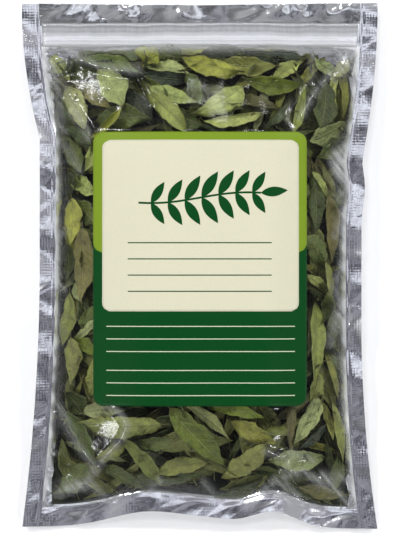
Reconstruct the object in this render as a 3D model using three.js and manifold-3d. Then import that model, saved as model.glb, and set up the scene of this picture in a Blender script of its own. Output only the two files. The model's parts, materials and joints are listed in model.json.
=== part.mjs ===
// A flat press-to-close pouch packed with dried curry leaves, lying on its back.
// Millimetres, +Z up. X runs across the pouch and +Y runs towards the zip. The origin is
// under the middle of the pouch, on the surface that it lies on.

import * as THREE from "three";
import { mergeVertices } from "three/addons/utils/BufferGeometryUtils.js";
import Module from "manifold-3d";

const wasm = await Module();
wasm.setup();

// Driving dimensions of the pouch
const WIDTH = 200;
const LENGTH = 295.6;
const HALF_WIDTH = WIDTH / 2;
const HALF_LENGTH = LENGTH / 2;
const FILM = 0.6;
const FACE_GAP = 0.3;
const SEAL_SHARE = 0.9; // the side seals start at this share of the half width
const BOTTOM_SEAL = 11;
const ZIP_LOW = 123.5;
const ZIP_HIGH = 136.2;

// How the filled pouch lies: its seams are pulled in and lifted by the leaves inside
const FRONT_RISE = 30;
const BACK_DROP = 22;
const CORNER_Z_BOTTOM = 2.5;
const CORNER_Z_TOP = 6.5;
const SEAM_RISE = 11;
const ZIP_RISE = 8.5;
const SEAL_DROOP = 1.5;
const TOP_EDGE_SAG = 1.3;
const EDGE_SLANT = { bottom: 0.6, top: 0.2 };
const LEFT_PULL = { depth: 10.3, topReach: 76, bottomReach: 150 };
const RIGHT_PULL = { depth: 9.3, topReach: 90, bottomReach: 118 };
const RIGHT_BULGE = { at: 44, width: 12, out: 2 };
// The bottom seal buckles into humps, each moving its edge in and up
const BOTTOM_HUMPS = [
  { at: -28, width: 30, inset: 9.3, rise: 9 },
  { at: 42, width: 18, inset: 9.5, rise: 9.5 },
  { at: 8, width: 20, inset: 3.6, rise: 4 },
];

// Zip strips, measured from the middle of the closed zip
const ZIP_SHARE = 0.87;
const ZIP_HALF_GAP = 1.6;
const ZIP_MARGIN = 1;
const STRIP_FACE = 1.15;
const STRIP_BASE = 0.65;
const PROFILE_TIP = 0.3;
const RIB_HALF = 0.6;
const GROOVE_HALF = 1.1;
const GROOVE_WALL = 0.8;
const MOUTH_HALF_GAP = 0.3;

// Label on the front film
const LABEL = { width: 119, height: 152.8, x: 0.15, y: -1.6, corner: 5.6, thick: 0.3 };

// Leaf filling
const CORE_DEPTH = 7.5; // from the front film down to the packed middle of the leaves
const CORE_LEAST = 1;
const CORE_CLEARANCE = 0.6;
const BLADE = 0.7;
const TOP_BLADE = 0.8;
const TOP_GAP = 0.5;
const LEVEL_STEP = 1.35;
const MAX_SLANT = 2.2;
const HEAP_CEILING = 3.1;
const LEAF_SEED = 20260;

const lerp = THREE.MathUtils.lerp;
const clamp = THREE.MathUtils.clamp;
const hump = (v, at, width) => Math.exp(-(((v - at) / width) ** 2));

// Outline of the pouch, seen from above
function pullIn(y, { depth, topReach, bottomReach }) {
  const fromTop = clamp((HALF_LENGTH - y) / topReach, 0, 1);
  const fromBottom = clamp((HALF_LENGTH + y) / bottomReach, 0, 1);
  return depth * fromTop ** 2 * (1 - (1 - fromBottom) ** 2);
}

const leftEdge = (y) => -HALF_WIDTH + pullIn(y, LEFT_PULL);

const rightEdge = (y) =>
  HALF_WIDTH -
  pullIn(y, RIGHT_PULL) +
  RIGHT_BULGE.out * hump(y, RIGHT_BULGE.at, RIGHT_BULGE.width);

function bottomEdge(x) {
  const inset = BOTTOM_HUMPS.reduce((sum, h) => sum + h.inset * hump(x, h.at, h.width), 0);
  return -HALF_LENGTH + EDGE_SLANT.bottom * (1 - x / HALF_WIDTH) + inset;
}

function topEdge(x) {
  const sag = TOP_EDGE_SAG * Math.cos((Math.PI * x) / WIDTH) ** 2;
  return HALF_LENGTH - EDGE_SLANT.top * (1 - x / HALF_WIDTH) - sag;
}

const bottomInner = (x) => bottomEdge(x) + BOTTOM_SEAL;

// Where the two films meet, as a height over the surface below
function seamHeight(across, y) {
  const x = across * HALF_WIDTH;
  const along = clamp((y - bottomEdge(x)) / (topEdge(x) - bottomEdge(x)), 0, 1);
  const rise = BOTTOM_HUMPS.reduce((sum, h) => sum + h.rise * hump(x, h.at, h.width), 0);
  const bottom = CORNER_Z_BOTTOM + rise;
  const top = CORNER_Z_TOP + ZIP_RISE * Math.cos((Math.PI * across) / 2);
  const side = lerp(CORNER_Z_BOTTOM, CORNER_Z_TOP, along) + SEAM_RISE * Math.sin(Math.PI * along);
  const flange = clamp((Math.abs(across) - SEAL_SHARE) / (1 - SEAL_SHARE), 0, 1);
  const droop = SEAL_DROOP * flange * Math.sin(Math.PI * along);
  return lerp(lerp(bottom, top, along), side, Math.abs(across) ** 3) - droop;
}

// How full the pillow is at a point, from 0 at its seams to 1 in the middle
function fullness(across, y, sidePower, bottomPower, topPower, roundness) {
  const x = across * HALF_WIDTH;
  const side = Math.abs(across) / SEAL_SHARE;
  const along = (2 * (y - bottomInner(x))) / (ZIP_LOW - bottomInner(x)) - 1;
  if (side >= 1 || Math.abs(along) >= 1) return 0;
  const endPower = along < 0 ? bottomPower : topPower;
  return ((1 - side ** sidePower) * (1 - Math.abs(along) ** endPower)) ** roundness;
}

function zipGap(across, y) {
  if (y < ZIP_LOW - ZIP_MARGIN) return 0;
  const fade = clamp((SEAL_SHARE - Math.abs(across)) / (SEAL_SHARE - ZIP_SHARE), 0, 1);
  return (y > ZIP_HIGH + ZIP_MARGIN ? MOUTH_HALF_GAP : ZIP_HALF_GAP) * fade;
}

function frontInner(across, y) {
  const bulge = FRONT_RISE * fullness(across, y, 4, 5, 3.5, 0.75);
  return seamHeight(across, y) + Math.max(FACE_GAP / 2, zipGap(across, y), FACE_GAP / 2 + bulge);
}

function backInner(across, y) {
  const bulge = BACK_DROP * fullness(across, y, 3, 3, 3, 1);
  const z = seamHeight(across, y) - Math.max(FACE_GAP / 2, zipGap(across, y), FACE_GAP / 2 + bulge);
  return Math.max(FILM, z);
}

const place = (across, y) => lerp(leftEdge(y), rightEdge(y), (across + 1) / 2);
const acrossAt = (x, y) => (2 * (x - leftEdge(y))) / (rightEdge(y) - leftEdge(y)) - 1;

// Columns and rows that every sheet of the pouch shares, so that their facets line up
const HALF_COLUMNS = [0.12, 0.24, 0.35, 0.45, 0.57, 0.7, 0.8, ZIP_SHARE, SEAL_SHARE, 1];
const COLUMNS = [...HALF_COLUMNS.map((s) => -s).reverse(), 0, ...HALF_COLUMNS];
const PILLOW_ROWS = [0.025, 0.07, 0.14, 0.23, 0.33, 0.44, 0.55, 0.66, 0.76, 0.85, 0.92, 0.97];

const pillowRow = (share) => (x) => lerp(bottomInner(x), ZIP_LOW, share);
const FILM_ROWS = [
  bottomEdge,
  bottomInner,
  ...PILLOW_ROWS.map(pillowRow),
  () => ZIP_LOW,
  () => ZIP_HIGH,
  topEdge,
];

// A closed solid between two height functions over a grid of columns and rows
function sheetSolid(columns, rows, top, bottom) {
  const positions = [];
  const index = [];
  const wide = columns.length;
  const layer = wide * rows.length;
  for (const height of [top, bottom]) {
    for (const row of rows) {
      for (const across of columns) {
        const y = row(across * HALF_WIDTH);
        positions.push(place(across, y), y, height(across, y));
      }
    }
  }
  const quad = (a, b, c, d) => index.push(a, b, c, a, c, d);
  for (let j = 0; j < rows.length - 1; j++) {
    for (let i = 0; i < wide - 1; i++) {
      const a = j * wide + i;
      quad(a, a + 1, a + wide + 1, a + wide);
      quad(a + layer, a + layer + wide, a + layer + wide + 1, a + layer + 1);
    }
  }
  const rim = [];
  for (let i = 0; i < wide - 1; i++) rim.push(i);
  for (let j = 0; j < rows.length - 1; j++) rim.push(j * wide + wide - 1);
  for (let i = wide - 1; i > 0; i--) rim.push((rows.length - 1) * wide + i);
  for (let j = rows.length - 1; j > 0; j--) rim.push(j * wide);
  rim.forEach((from, k) => {
    const to = rim[(k + 1) % rim.length];
    quad(from, from + layer, to + layer, to);
  });
  return indexed(positions, index);
}

function indexed(positions, index) {
  const geometry = new THREE.BufferGeometry();
  geometry.setAttribute("position", new THREE.Float32BufferAttribute(positions, 3));
  geometry.setIndex(index);
  return geometry;
}

function toSolid(geometry) {
  const bare = geometry.clone();
  bare.deleteAttribute("normal");
  bare.deleteAttribute("uv");
  const merged = mergeVertices(bare, 1e-4);
  const mesh = new wasm.Mesh({
    numProp: 3,
    vertProperties: merged.attributes.position.array,
    triVerts: new Uint32Array(merged.index.array),
  });
  return new wasm.Manifold(mesh);
}

function toGeometry(solid) {
  const { vertProperties, triVerts } = solid.getMesh();
  return indexed(Array.from(vertProperties), Array.from(triVerts));
}

// Films
const frontFilmGeometry = () =>
  sheetSolid(COLUMNS, FILM_ROWS, (s, y) => frontInner(s, y) + FILM, frontInner);

const backFilmGeometry = () =>
  sheetSolid(COLUMNS, FILM_ROWS, backInner, (s, y) => backInner(s, y) - FILM);

// A strip of one cross-section, [y, height over the zip's middle], along the closed zip
function zipStrip(section) {
  const columns = COLUMNS.filter((s) => Math.abs(s) <= ZIP_SHARE);
  const middle = (s) => {
    const low = seamHeight(s, ZIP_LOW);
    const high = seamHeight(s, ZIP_HIGH);
    return (y) => lerp(low, high, (y - ZIP_LOW) / (ZIP_HIGH - ZIP_LOW));
  };
  const positions = [];
  for (const s of columns) {
    const seam = middle(s);
    for (const [y, z] of section) positions.push(place(s, y), y, seam(y) + z);
  }
  const index = [];
  const n = section.length;
  for (let i = 0; i < columns.length - 1; i++) {
    for (let k = 0; k < n; k++) {
      const a = i * n + k;
      const b = i * n + ((k + 1) % n);
      index.push(a, a + n, b, b, a + n, b + n);
    }
  }
  const outline = section.map(([y, z]) => new THREE.Vector2(y, z));
  const last = (columns.length - 1) * n;
  for (const [a, b, c] of THREE.ShapeUtils.triangulateShape(outline, [])) {
    index.push(a, c, b, last + a, last + b, last + c);
  }
  return indexed(positions, index);
}

const ZIP_MIDDLE = (ZIP_LOW + ZIP_HIGH) / 2;
const STRIP_LOW = ZIP_LOW + ZIP_MARGIN;
const STRIP_HIGH = ZIP_HIGH - ZIP_MARGIN;

function ribStrip() {
  return zipStrip([
    [STRIP_LOW, STRIP_FACE],
    [STRIP_HIGH, STRIP_FACE],
    [STRIP_HIGH, STRIP_BASE],
    [ZIP_MIDDLE + RIB_HALF, STRIP_BASE],
    [ZIP_MIDDLE + RIB_HALF, -PROFILE_TIP],
    [ZIP_MIDDLE - RIB_HALF, -PROFILE_TIP],
    [ZIP_MIDDLE - RIB_HALF, STRIP_BASE],
    [STRIP_LOW, STRIP_BASE],
  ]);
}

function grooveStrip() {
  const outer = GROOVE_HALF + GROOVE_WALL;
  return zipStrip([
    [STRIP_LOW, -STRIP_BASE],
    [ZIP_MIDDLE - outer, -STRIP_BASE],
    [ZIP_MIDDLE - outer, PROFILE_TIP],
    [ZIP_MIDDLE - GROOVE_HALF, PROFILE_TIP],
    [ZIP_MIDDLE - GROOVE_HALF, -STRIP_BASE],
    [ZIP_MIDDLE + GROOVE_HALF, -STRIP_BASE],
    [ZIP_MIDDLE + GROOVE_HALF, PROFILE_TIP],
    [ZIP_MIDDLE + outer, PROFILE_TIP],
    [ZIP_MIDDLE + outer, -STRIP_BASE],
    [STRIP_HIGH, -STRIP_BASE],
    [STRIP_HIGH, -STRIP_FACE],
    [STRIP_LOW, -STRIP_FACE],
  ]);
}

// The label is cut from a thin skin over the front film by a rounded rectangle
function labelGeometry() {
  const { width, height, x, y, corner, thick } = LABEL;
  const outline = new THREE.Shape();
  const [w, h] = [width / 2 - corner, height / 2 - corner];
  outline.absarc(w, h, corner, 0, Math.PI / 2);
  outline.absarc(-w, h, corner, Math.PI / 2, Math.PI);
  outline.absarc(-w, -h, corner, Math.PI, 1.5 * Math.PI);
  outline.absarc(w, -h, corner, 1.5 * Math.PI, 2 * Math.PI);
  const cutter = new THREE.ExtrudeGeometry(outline, {
    depth: 4 * FRONT_RISE,
    bevelEnabled: false,
    curveSegments: 5,
  });
  cutter.translate(x, y, 0);
  const over = (lift) => (s, row) => frontInner(s, row) + FILM + FACE_GAP + lift;
  const rows = PILLOW_ROWS.map(pillowRow);
  const columns = COLUMNS.filter((s) => Math.abs(s) <= ZIP_SHARE);
  const skin = sheetSolid(columns, rows, over(thick), over(0));
  return toGeometry(toSolid(skin).intersect(toSolid(cutter)));
}

// Reads a facet of a sheet over a point: its height, and how much further a distance across
// the sheet is when it is measured straight down
function sheetReader(geometry, upwards) {
  const mesh = new THREE.Mesh(geometry, new THREE.MeshBasicMaterial({ side: THREE.DoubleSide }));
  const direction = new THREE.Vector3(0, 0, upwards ? 1 : -1);
  const start = upwards ? -1 : 4 * FRONT_RISE;
  return (x, y) => {
    const ray = new THREE.Raycaster(new THREE.Vector3(x, y, start), direction);
    const hit = ray.intersectObject(mesh)[0];
    if (!hit) return { z: NaN, slant: 1 };
    return { z: hit.point.z, slant: Math.min(MAX_SLANT, 1 / Math.abs(hit.face.normal.z)) };
  };
}

// A leaf blade: an ovate outline with a midrib, as stations of left, middle and right points.
// faces(x, y, along) gives the heights of the upper and the lower face there.
function leafBlade({ x, y, heading, length, width, stations, fold, faces: facesAt }) {
  const direction = new THREE.Vector2(Math.cos(heading), Math.sin(heading));
  const sideways = new THREE.Vector2(-direction.y, direction.x);
  const halfWidth = (v) => (width / 2) * 1.28 * Math.sin(Math.PI * v ** 0.85) ** 0.8 * (1.12 - 0.5 * v);
  const point = (v, side) => {
    const px = x + direction.x * length * (v - 0.5) + sideways.x * side * halfWidth(v);
    const py = y + direction.y * length * (v - 0.5) + sideways.y * side * halfWidth(v);
    const dip = fold * (1 - Math.abs(side));
    const [top, bottom] = facesAt(px, py, v);
    return [px, py, top - dip, bottom - dip];
  };
  const points = [point(0, 0)];
  for (const v of stations) for (const side of [1, 0, -1]) points.push(point(v, side));
  points.push(point(1, 0));
  if (points.some((p) => !Number.isFinite(p[2]))) return null;
  const upper = points.map(([px, py, top]) => [px, py, top]);
  const lower = points.map(([px, py, , bottom]) => [px, py, bottom]);
  const count = points.length;
  const faces = [[0, 2, 1], [0, 3, 2]];
  for (let k = 0; k < stations.length - 1; k++) {
    const a = 1 + 3 * k;
    for (const side of [0, 1]) {
      faces.push([a + side, a + side + 1, a + side + 4], [a + side, a + side + 4, a + side + 3]);
    }
  }
  const end = count - 4;
  faces.push([end, end + 1, count - 1], [end + 1, end + 2, count - 1]);
  const rim = [0];
  for (let k = 0; k < stations.length; k++) rim.push(3 + 3 * k);
  rim.push(count - 1);
  for (let k = stations.length - 1; k >= 0; k--) rim.push(1 + 3 * k);
  const index = [];
  for (const [a, b, c] of faces) index.push(a, b, c, a + count, c + count, b + count);
  rim.forEach((from, k) => {
    const to = rim[(k + 1) % rim.length];
    index.push(from, from + count, to + count, from, to + count, to);
  });
  return indexed([...upper, ...lower].flat(), index);
}

// A small seeded random source, so that every run places the same leaves
function randomFrom(seed) {
  let state = seed;
  return () => {
    state = (state * 1664525 + 1013904223) % 4294967296;
    return state / 4294967296;
  };
}

// Leaves that lie against the front film, as [base x, base y, tip x, tip y, width, level, tone]
const TOP_LEAVES = [
  [-21.2, -88.1, -69.5, -87.3, 15.0, 0, "olive"],
  [-75.5, -81.0, -58.5, -112.5, 10.0, 1, "green"],
  [-16.7, -79.2, 14.2, -111.7, 15.5, 0, "green"],
  [17.2, -86.8, 43.2, -98.8, 10.5, 0, "yellow"],
  [36.6, -99.0, 12.0, -119.0, 12.0, 1, "olive"],
  [70.5, -107.4, 37.5, -108.4, 11.5, 1, "olive"],
  [66.0, -73.0, 52.4, -99.4, 11.5, 0, "dark"],
  [64.6, -24.0, 64.0, -68.0, 9.5, 0, "olive"],
  [-72.3, -39.8, -72.4, -66.8, 10.0, 0, "olive"],
  [-65.6, 21.4, -66.7, -20.2, 13.0, 0, "olive"],
  [-72.0, 38.3, -72.6, 12.0, 10.0, 1, "yellow"],
  [-75.5, 100.5, -64.5, 76.0, 12.0, 1, "green"],
  [-66.0, 115.5, -33.0, 108.0, 9.5, 0, "green"],
  [26.0, 104.5, 57.0, 101.7, 10.0, 0, "yellow"],
  [24.0, 100.4, -4.3, 84.6, 16.0, 1, "olive"],
  [-30.2, 97.8, -7.7, 74.6, 11.5, 0, "olive"],
  [72.0, 39.0, 74.0, 1.5, 9.5, 0, "olive"],
  [70.5, 103.0, 67.5, 77.0, 14.0, 1, "dark"],
];

const TOP_STATIONS = [0.1, 0.3, 0.55, 0.8];
const HEAP_STATIONS = [0.16, 0.45, 0.78];

function topLeaf([baseX, baseY, tipX, tipY, width, level], film) {
  const depth = TOP_GAP + level * LEVEL_STEP;
  const facesUnderFilm = (x, y) => {
    const { z, slant } = film(x, y);
    return [z - depth * slant, z - (depth + TOP_BLADE) * slant];
  };
  return leafBlade({
    x: (baseX + tipX) / 2,
    y: (baseY + tipY) / 2,
    heading: Math.atan2(tipY - baseY, tipX - baseX),
    length: Math.hypot(tipX - baseX, tipY - baseY),
    width,
    stations: TOP_STATIONS,
    fold: 0,
    faces: facesUnderFilm,
  });
}

// The packed leaves: a smaller core with blades that rise out of it to just under the top leaves
const HEAP_CELL = 18.5;
const HEAP_JITTER = 7;
const LEAF_LENGTH = { least: 27, spread: 15 };
const LEAF_SLENDERNESS = { least: 0.32, spread: 0.1 };
const HEAP_FOLD = 0.8;
const HEAP_FLOOR = 0.4;
const UNDER_LABEL_SHARE = 0.15;

function heapSpots(random) {
  const spots = [];
  for (let y = -HALF_LENGTH; y < ZIP_LOW; y += HEAP_CELL * 0.62) {
    for (let x = -HALF_WIDTH; x < HALF_WIDTH; x += HEAP_CELL) {
      const spot = {
        x: x + HEAP_JITTER * (2 * random() - 1),
        y: y + HEAP_JITTER * (2 * random() - 1),
        heading: 2 * Math.PI * random(),
        length: LEAF_LENGTH.least + LEAF_LENGTH.spread * random(),
        slenderness: LEAF_SLENDERNESS.least + LEAF_SLENDERNESS.spread * random(),
        rootDepth: -0.3 * random(),
        tipRise: 0.45 + 0.55 * random(),
        keep: random(),
      };
      const underLabel =
        Math.abs(spot.x - LABEL.x) < LABEL.width / 2 - 14 &&
        Math.abs(spot.y - LABEL.y) < LABEL.height / 2 - 14;
      if (!underLabel || spot.keep < UNDER_LABEL_SHARE) spots.push(spot);
    }
  }
  return spots;
}

function leafHeap(film, foil) {
  const rows = PILLOW_ROWS.slice(1).map(pillowRow);
  const columns = COLUMNS.filter((s) => Math.abs(s) <= ZIP_SHARE);
  const coreBottom = (s, y) => backInner(s, y) + CORE_CLEARANCE;
  const coreTop = (s, y) => Math.max(frontInner(s, y) - CORE_DEPTH, coreBottom(s, y) + CORE_LEAST);
  const core = sheetSolid(columns, rows, coreTop, coreBottom);
  const overCore = sheetReader(core, false);
  const bladeFaces = (spot) => (x, y, along) => {
    const low = overCore(x, y).z;
    if (Math.abs(acrossAt(x, y)) > ZIP_SHARE - 0.01) return [NaN, NaN];
    const { z, slant } = film(x, y);
    const high = z - HEAP_CEILING * slant;
    const least = foil(x, y).z + HEAP_FLOOR + BLADE * slant + HEAP_FOLD;
    const wanted = lerp(low, high, lerp(spot.rootDepth, spot.tipRise, along));
    const top = least > high ? NaN : Math.max(wanted, least);
    return [top, top - BLADE * slant];
  };
  const blades = [];
  for (const spot of heapSpots(randomFrom(LEAF_SEED))) {
    const blade = leafBlade({
      ...spot,
      width: spot.length * spot.slenderness,
      stations: HEAP_STATIONS,
      fold: HEAP_FOLD,
      faces: bladeFaces(spot),
    });
    if (blade) blades.push(toSolid(blade));
  }
  const heap = wasm.Manifold.union([toSolid(core), ...blades]);
  const bodies = heap.decompose().sort((a, b) => b.volume() - a.volume());
  return toGeometry(bodies[0]);
}

// Materials
const finish = (color, roughness, metalness, opacity = 1) =>
  new THREE.MeshStandardMaterial({ color, roughness, metalness, opacity, transparent: opacity < 1 });

const MATERIALS = {
  clearFilm: finish(0xdfe3e6, 0.12, 0, 0.25),
  foil: finish(0xb9bac0, 0.3, 1),
  zip: finish(0xd4d6d9, 0.35, 0, 0.6),
  label: finish(0x154a26, 0.45, 0),
  heap: finish(0x55652f, 0.7, 0),
  olive: finish(0x7c8247, 0.65, 0),
  green: finish(0x4f6b24, 0.6, 0),
  yellow: finish(0x93943c, 0.65, 0),
  dark: finish(0x3c5228, 0.6, 0),
};

const pouch = new THREE.Group();

function add(name, geometry, material) {
  const mesh = new THREE.Mesh(geometry, material);
  mesh.name = name;
  pouch.add(mesh);
}

const frontFilm = frontFilmGeometry();
const backFilm = backFilmGeometry();
const underFilm = sheetReader(frontFilm, true);
const overFoil = sheetReader(backFilm, false);

add("back_film", backFilm, MATERIALS.foil);
add("front_film", frontFilm, MATERIALS.clearFilm);
add("zip_groove_strip", grooveStrip(), MATERIALS.zip);
add("zip_rib_strip", ribStrip(), MATERIALS.zip);
add("label", labelGeometry(), MATERIALS.label);
add("leaf_heap", leafHeap(underFilm, overFoil), MATERIALS.heap);
TOP_LEAVES.forEach((leaf, k) => {
  const name = `leaf_${String(k + 1).padStart(2, "0")}`;
  add(name, topLeaf(leaf, underFilm), MATERIALS[leaf[6]]);
});

export default pouch;
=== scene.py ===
"""A clear-fronted foil pouch packed with dried curry leaves, lying on its back."""

import json
import math

import bpy
import numpy as np
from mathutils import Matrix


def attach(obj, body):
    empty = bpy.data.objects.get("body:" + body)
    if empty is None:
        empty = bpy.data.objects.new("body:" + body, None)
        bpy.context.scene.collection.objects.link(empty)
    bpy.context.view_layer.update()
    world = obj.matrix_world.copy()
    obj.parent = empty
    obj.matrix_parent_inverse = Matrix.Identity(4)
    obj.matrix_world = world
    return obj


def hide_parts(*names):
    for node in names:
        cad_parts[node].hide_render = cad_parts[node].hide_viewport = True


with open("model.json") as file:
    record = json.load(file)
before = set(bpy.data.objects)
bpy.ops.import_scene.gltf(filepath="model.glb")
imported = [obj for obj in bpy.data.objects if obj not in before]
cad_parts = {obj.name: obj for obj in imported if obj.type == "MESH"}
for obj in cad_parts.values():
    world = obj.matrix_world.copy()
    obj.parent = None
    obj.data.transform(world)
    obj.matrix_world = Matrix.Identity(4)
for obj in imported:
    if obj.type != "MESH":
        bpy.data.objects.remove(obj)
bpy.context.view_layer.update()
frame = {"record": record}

MM = 0.001

# Pouch sizes in millimetres, the same as those of the solids
HALF_WIDTH = 100.0
HALF_LENGTH = 147.8
HALF_FILM = 0.3
SEAL_SHARE = 0.9
BOTTOM_SEAL = 11.0
ZIP_LOW = 123.5
ZIP_HIGH = 136.2
ZIP_SHARE = 0.87
FRONT_RISE = 30.0
BACK_DROP = 22.0
CORNER_Z_BOTTOM = 2.5
CORNER_Z_TOP = 6.5
SEAM_RISE = 11.0
ZIP_RISE = 8.5
SEAL_DROOP = 1.5
TOP_EDGE_SAG = 1.3
# How the filling pulls the sides in: depth, and reach from the top and from the bottom
LEFT_PULL = (10.3, 76.0, 150.0)
RIGHT_PULL = (9.3, 90.0, 118.0)
RIGHT_BULGE = (44.0, 12.0, 2.0)
# Waves of the bottom edge: place, width, inset and rise
BOTTOM_HUMPS = ((-28, 30, 9.3, 9), (42, 18, 9.5, 9.5), (8, 20, 3.6, 4))
LABEL_WIDTH = 119.0
LABEL_HEIGHT = 152.8
LABEL_X = 0.15
LABEL_Y = -1.6
LABEL_CORNER = 5.6
LABEL_BOTTOM = LABEL_Y - LABEL_HEIGHT / 2

# Half the gap between the films at the zip and at the mouth
ZIP_HALF_GAP = 1.4
MOUTH_HALF_GAP = 0.3

# Lowest height of the foil back above the floor
BACK_LEAST = 0.25

# Powers of the two domes: towards the sides, the bottom and the top, and of the whole
FRONT_DOME = (4, 5, 3.5, 0.75)
BACK_DOME = (3, 3, 3, 1)

# Scale and middle of the photo, for the leaves and creases that are placed from it
PHOTO_MM = 0.5618
PHOTO_MIDDLE = (199.7, 266.1)

random = np.random.default_rng(417)


def from_photo(px, py):
    """Turns a place in the photo, in pixels, into millimetres on the pouch."""
    return (px - PHOTO_MIDDLE[0]) * PHOTO_MM, (PHOTO_MIDDLE[1] - py) * PHOTO_MM


def smooth(value):
    """Eases a number from 0 to 1."""
    value = np.clip(value, 0, 1)
    return value * value * (3 - 2 * value)


def lerp(a, b, share):
    return a + (b - a) * share


def hump(value, at, width):
    return np.exp(-(((value - at) / width) ** 2))


# Outline of the pouch


def pull_in(y, depth, top_reach, bottom_reach):
    from_top = np.clip((HALF_LENGTH - y) / top_reach, 0, 1)
    from_bottom = np.clip((HALF_LENGTH + y) / bottom_reach, 0, 1)
    return depth * from_top**2 * (1 - (1 - from_bottom) ** 2)


def left_edge(y):
    return -HALF_WIDTH + pull_in(y, *LEFT_PULL)


def right_edge(y):
    at, width, out = RIGHT_BULGE
    return HALF_WIDTH - pull_in(y, *RIGHT_PULL) + out * hump(y, at, width)


def bottom_edge(x):
    inset = sum(depth * hump(x, at, width) for at, width, depth, _ in BOTTOM_HUMPS)
    return -HALF_LENGTH + 0.6 * (1 - x / HALF_WIDTH) + inset


def top_edge(x):
    sag = TOP_EDGE_SAG * np.cos(math.pi * x / (2 * HALF_WIDTH)) ** 2
    return HALF_LENGTH - 0.2 * (1 - x / HALF_WIDTH) - sag


def bottom_inner(x):
    return bottom_edge(x) + BOTTOM_SEAL


def place(across, y):
    return lerp(left_edge(y), right_edge(y), (across + 1) / 2)


def across_at(x, y):
    left = left_edge(y)
    return 2 * (x - left) / (right_edge(y) - left) - 1


# Heights of the seams and of the two films


def seam_height(across, y):
    across = np.clip(across, -1, 1)
    x = across * HALF_WIDTH
    along = np.clip((y - bottom_edge(x)) / (top_edge(x) - bottom_edge(x)), 0, 1)
    bottom = CORNER_Z_BOTTOM + sum(rise * hump(x, at, width) for at, width, _, rise in BOTTOM_HUMPS)
    top = CORNER_Z_TOP + ZIP_RISE * np.cos(math.pi * across / 2)
    arch = np.sin(math.pi * along)
    side = lerp(CORNER_Z_BOTTOM, CORNER_Z_TOP, along) + SEAM_RISE * arch
    flange = np.clip((np.abs(across) - SEAL_SHARE) / (1 - SEAL_SHARE), 0, 1)
    middle = lerp(lerp(bottom, top, along), side, np.abs(across) ** 3)
    return middle - SEAL_DROOP * flange * arch


def fullness(across, y, side_power, bottom_power, top_power, roundness):
    low = bottom_inner(across * HALF_WIDTH)
    side = np.clip(np.abs(across) / SEAL_SHARE, 0, 1)
    along = np.clip(2 * (y - low) / (ZIP_LOW - low) - 1, -1, 1)
    power = np.where(along < 0, bottom_power, top_power)
    return ((1 - side**side_power) * (1 - np.abs(along) ** power)) ** roundness


def zip_gap(across, y):
    fade = np.clip((SEAL_SHARE - np.abs(across)) / (SEAL_SHARE - ZIP_SHARE), 0, 1)
    rise = smooth((y - ZIP_LOW + 5) / 6)
    mouth = smooth((y - ZIP_HIGH + 1) / 4)
    return lerp(ZIP_HALF_GAP, MOUTH_HALF_GAP, mouth) * rise * fade


def front_height(across, y):
    bulge = FRONT_RISE * fullness(across, y, *FRONT_DOME)
    return seam_height(across, y) + HALF_FILM + np.maximum(bulge, zip_gap(across, y))


def back_height(across, y):
    bulge = BACK_DROP * fullness(across, y, *BACK_DOME)
    depth = np.maximum(bulge, 0.35 * zip_gap(across, y))
    return np.maximum(seam_height(across, y) - HALF_FILM - depth, BACK_LEAST)


# Height fields over a one-millimetre grid

GRID_X = np.arange(-104.0, 105.0)
GRID_Y = np.arange(-152.0, 153.0)
FIELD_X, FIELD_Y = np.meshgrid(GRID_X, GRID_Y)
FIELD_S = across_at(FIELD_X, FIELD_Y)
INSIDE = (
    (np.abs(FIELD_S) < SEAL_SHARE)
    & (FIELD_Y > bottom_inner(np.clip(FIELD_S, -1, 1) * HALF_WIDTH))
    & (FIELD_Y < ZIP_LOW)
)
FRONT_FIELD = front_height(FIELD_S, FIELD_Y)
BACK_FIELD = back_height(FIELD_S, FIELD_Y)


def look_up(field, x, y):
    """Reads a height field between its grid points."""
    column = np.clip(x - GRID_X[0], 0, len(GRID_X) - 1.001)
    row = np.clip(y - GRID_Y[0], 0, len(GRID_Y) - 1.001)
    i, j = column.astype(int), row.astype(int)
    fx, fy = column - i, row - j
    low = lerp(field[j, i], field[j, i + 1], fx)
    high = lerp(field[j + 1, i], field[j + 1, i + 1], fx)
    return lerp(low, high, fy)


def smooth_look_up(field, x, y):
    """Reads a field as an average around each point, so that its grid leaves no kinks."""
    shifts = (-0.67, 0, 0.67)
    return sum(look_up(field, x + dx, y + dy) for dx in shifts for dy in shifts) / 9


def blur(field, sigma):
    reach = int(3 * sigma)
    weights = np.exp(-0.5 * (np.arange(-reach, reach + 1) / sigma) ** 2)
    weights /= weights.sum()
    for axis in (0, 1):
        padded = np.pad(field, [(reach, reach) if a == axis else (0, 0) for a in (0, 1)], mode="edge")
        size = field.shape[axis]
        parts = [w * np.take(padded, range(k, k + size), axis=axis) for k, w in enumerate(weights)]
        field = sum(parts)
    return field


def spread_peaks(field, reach):
    """Spreads each high point of a field sideways, as far as reach."""
    for axis in (0, 1):
        field = np.max([np.roll(field, k, axis=axis) for k in range(-reach, reach + 1)], axis=0)
    return field


# Meshes


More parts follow.
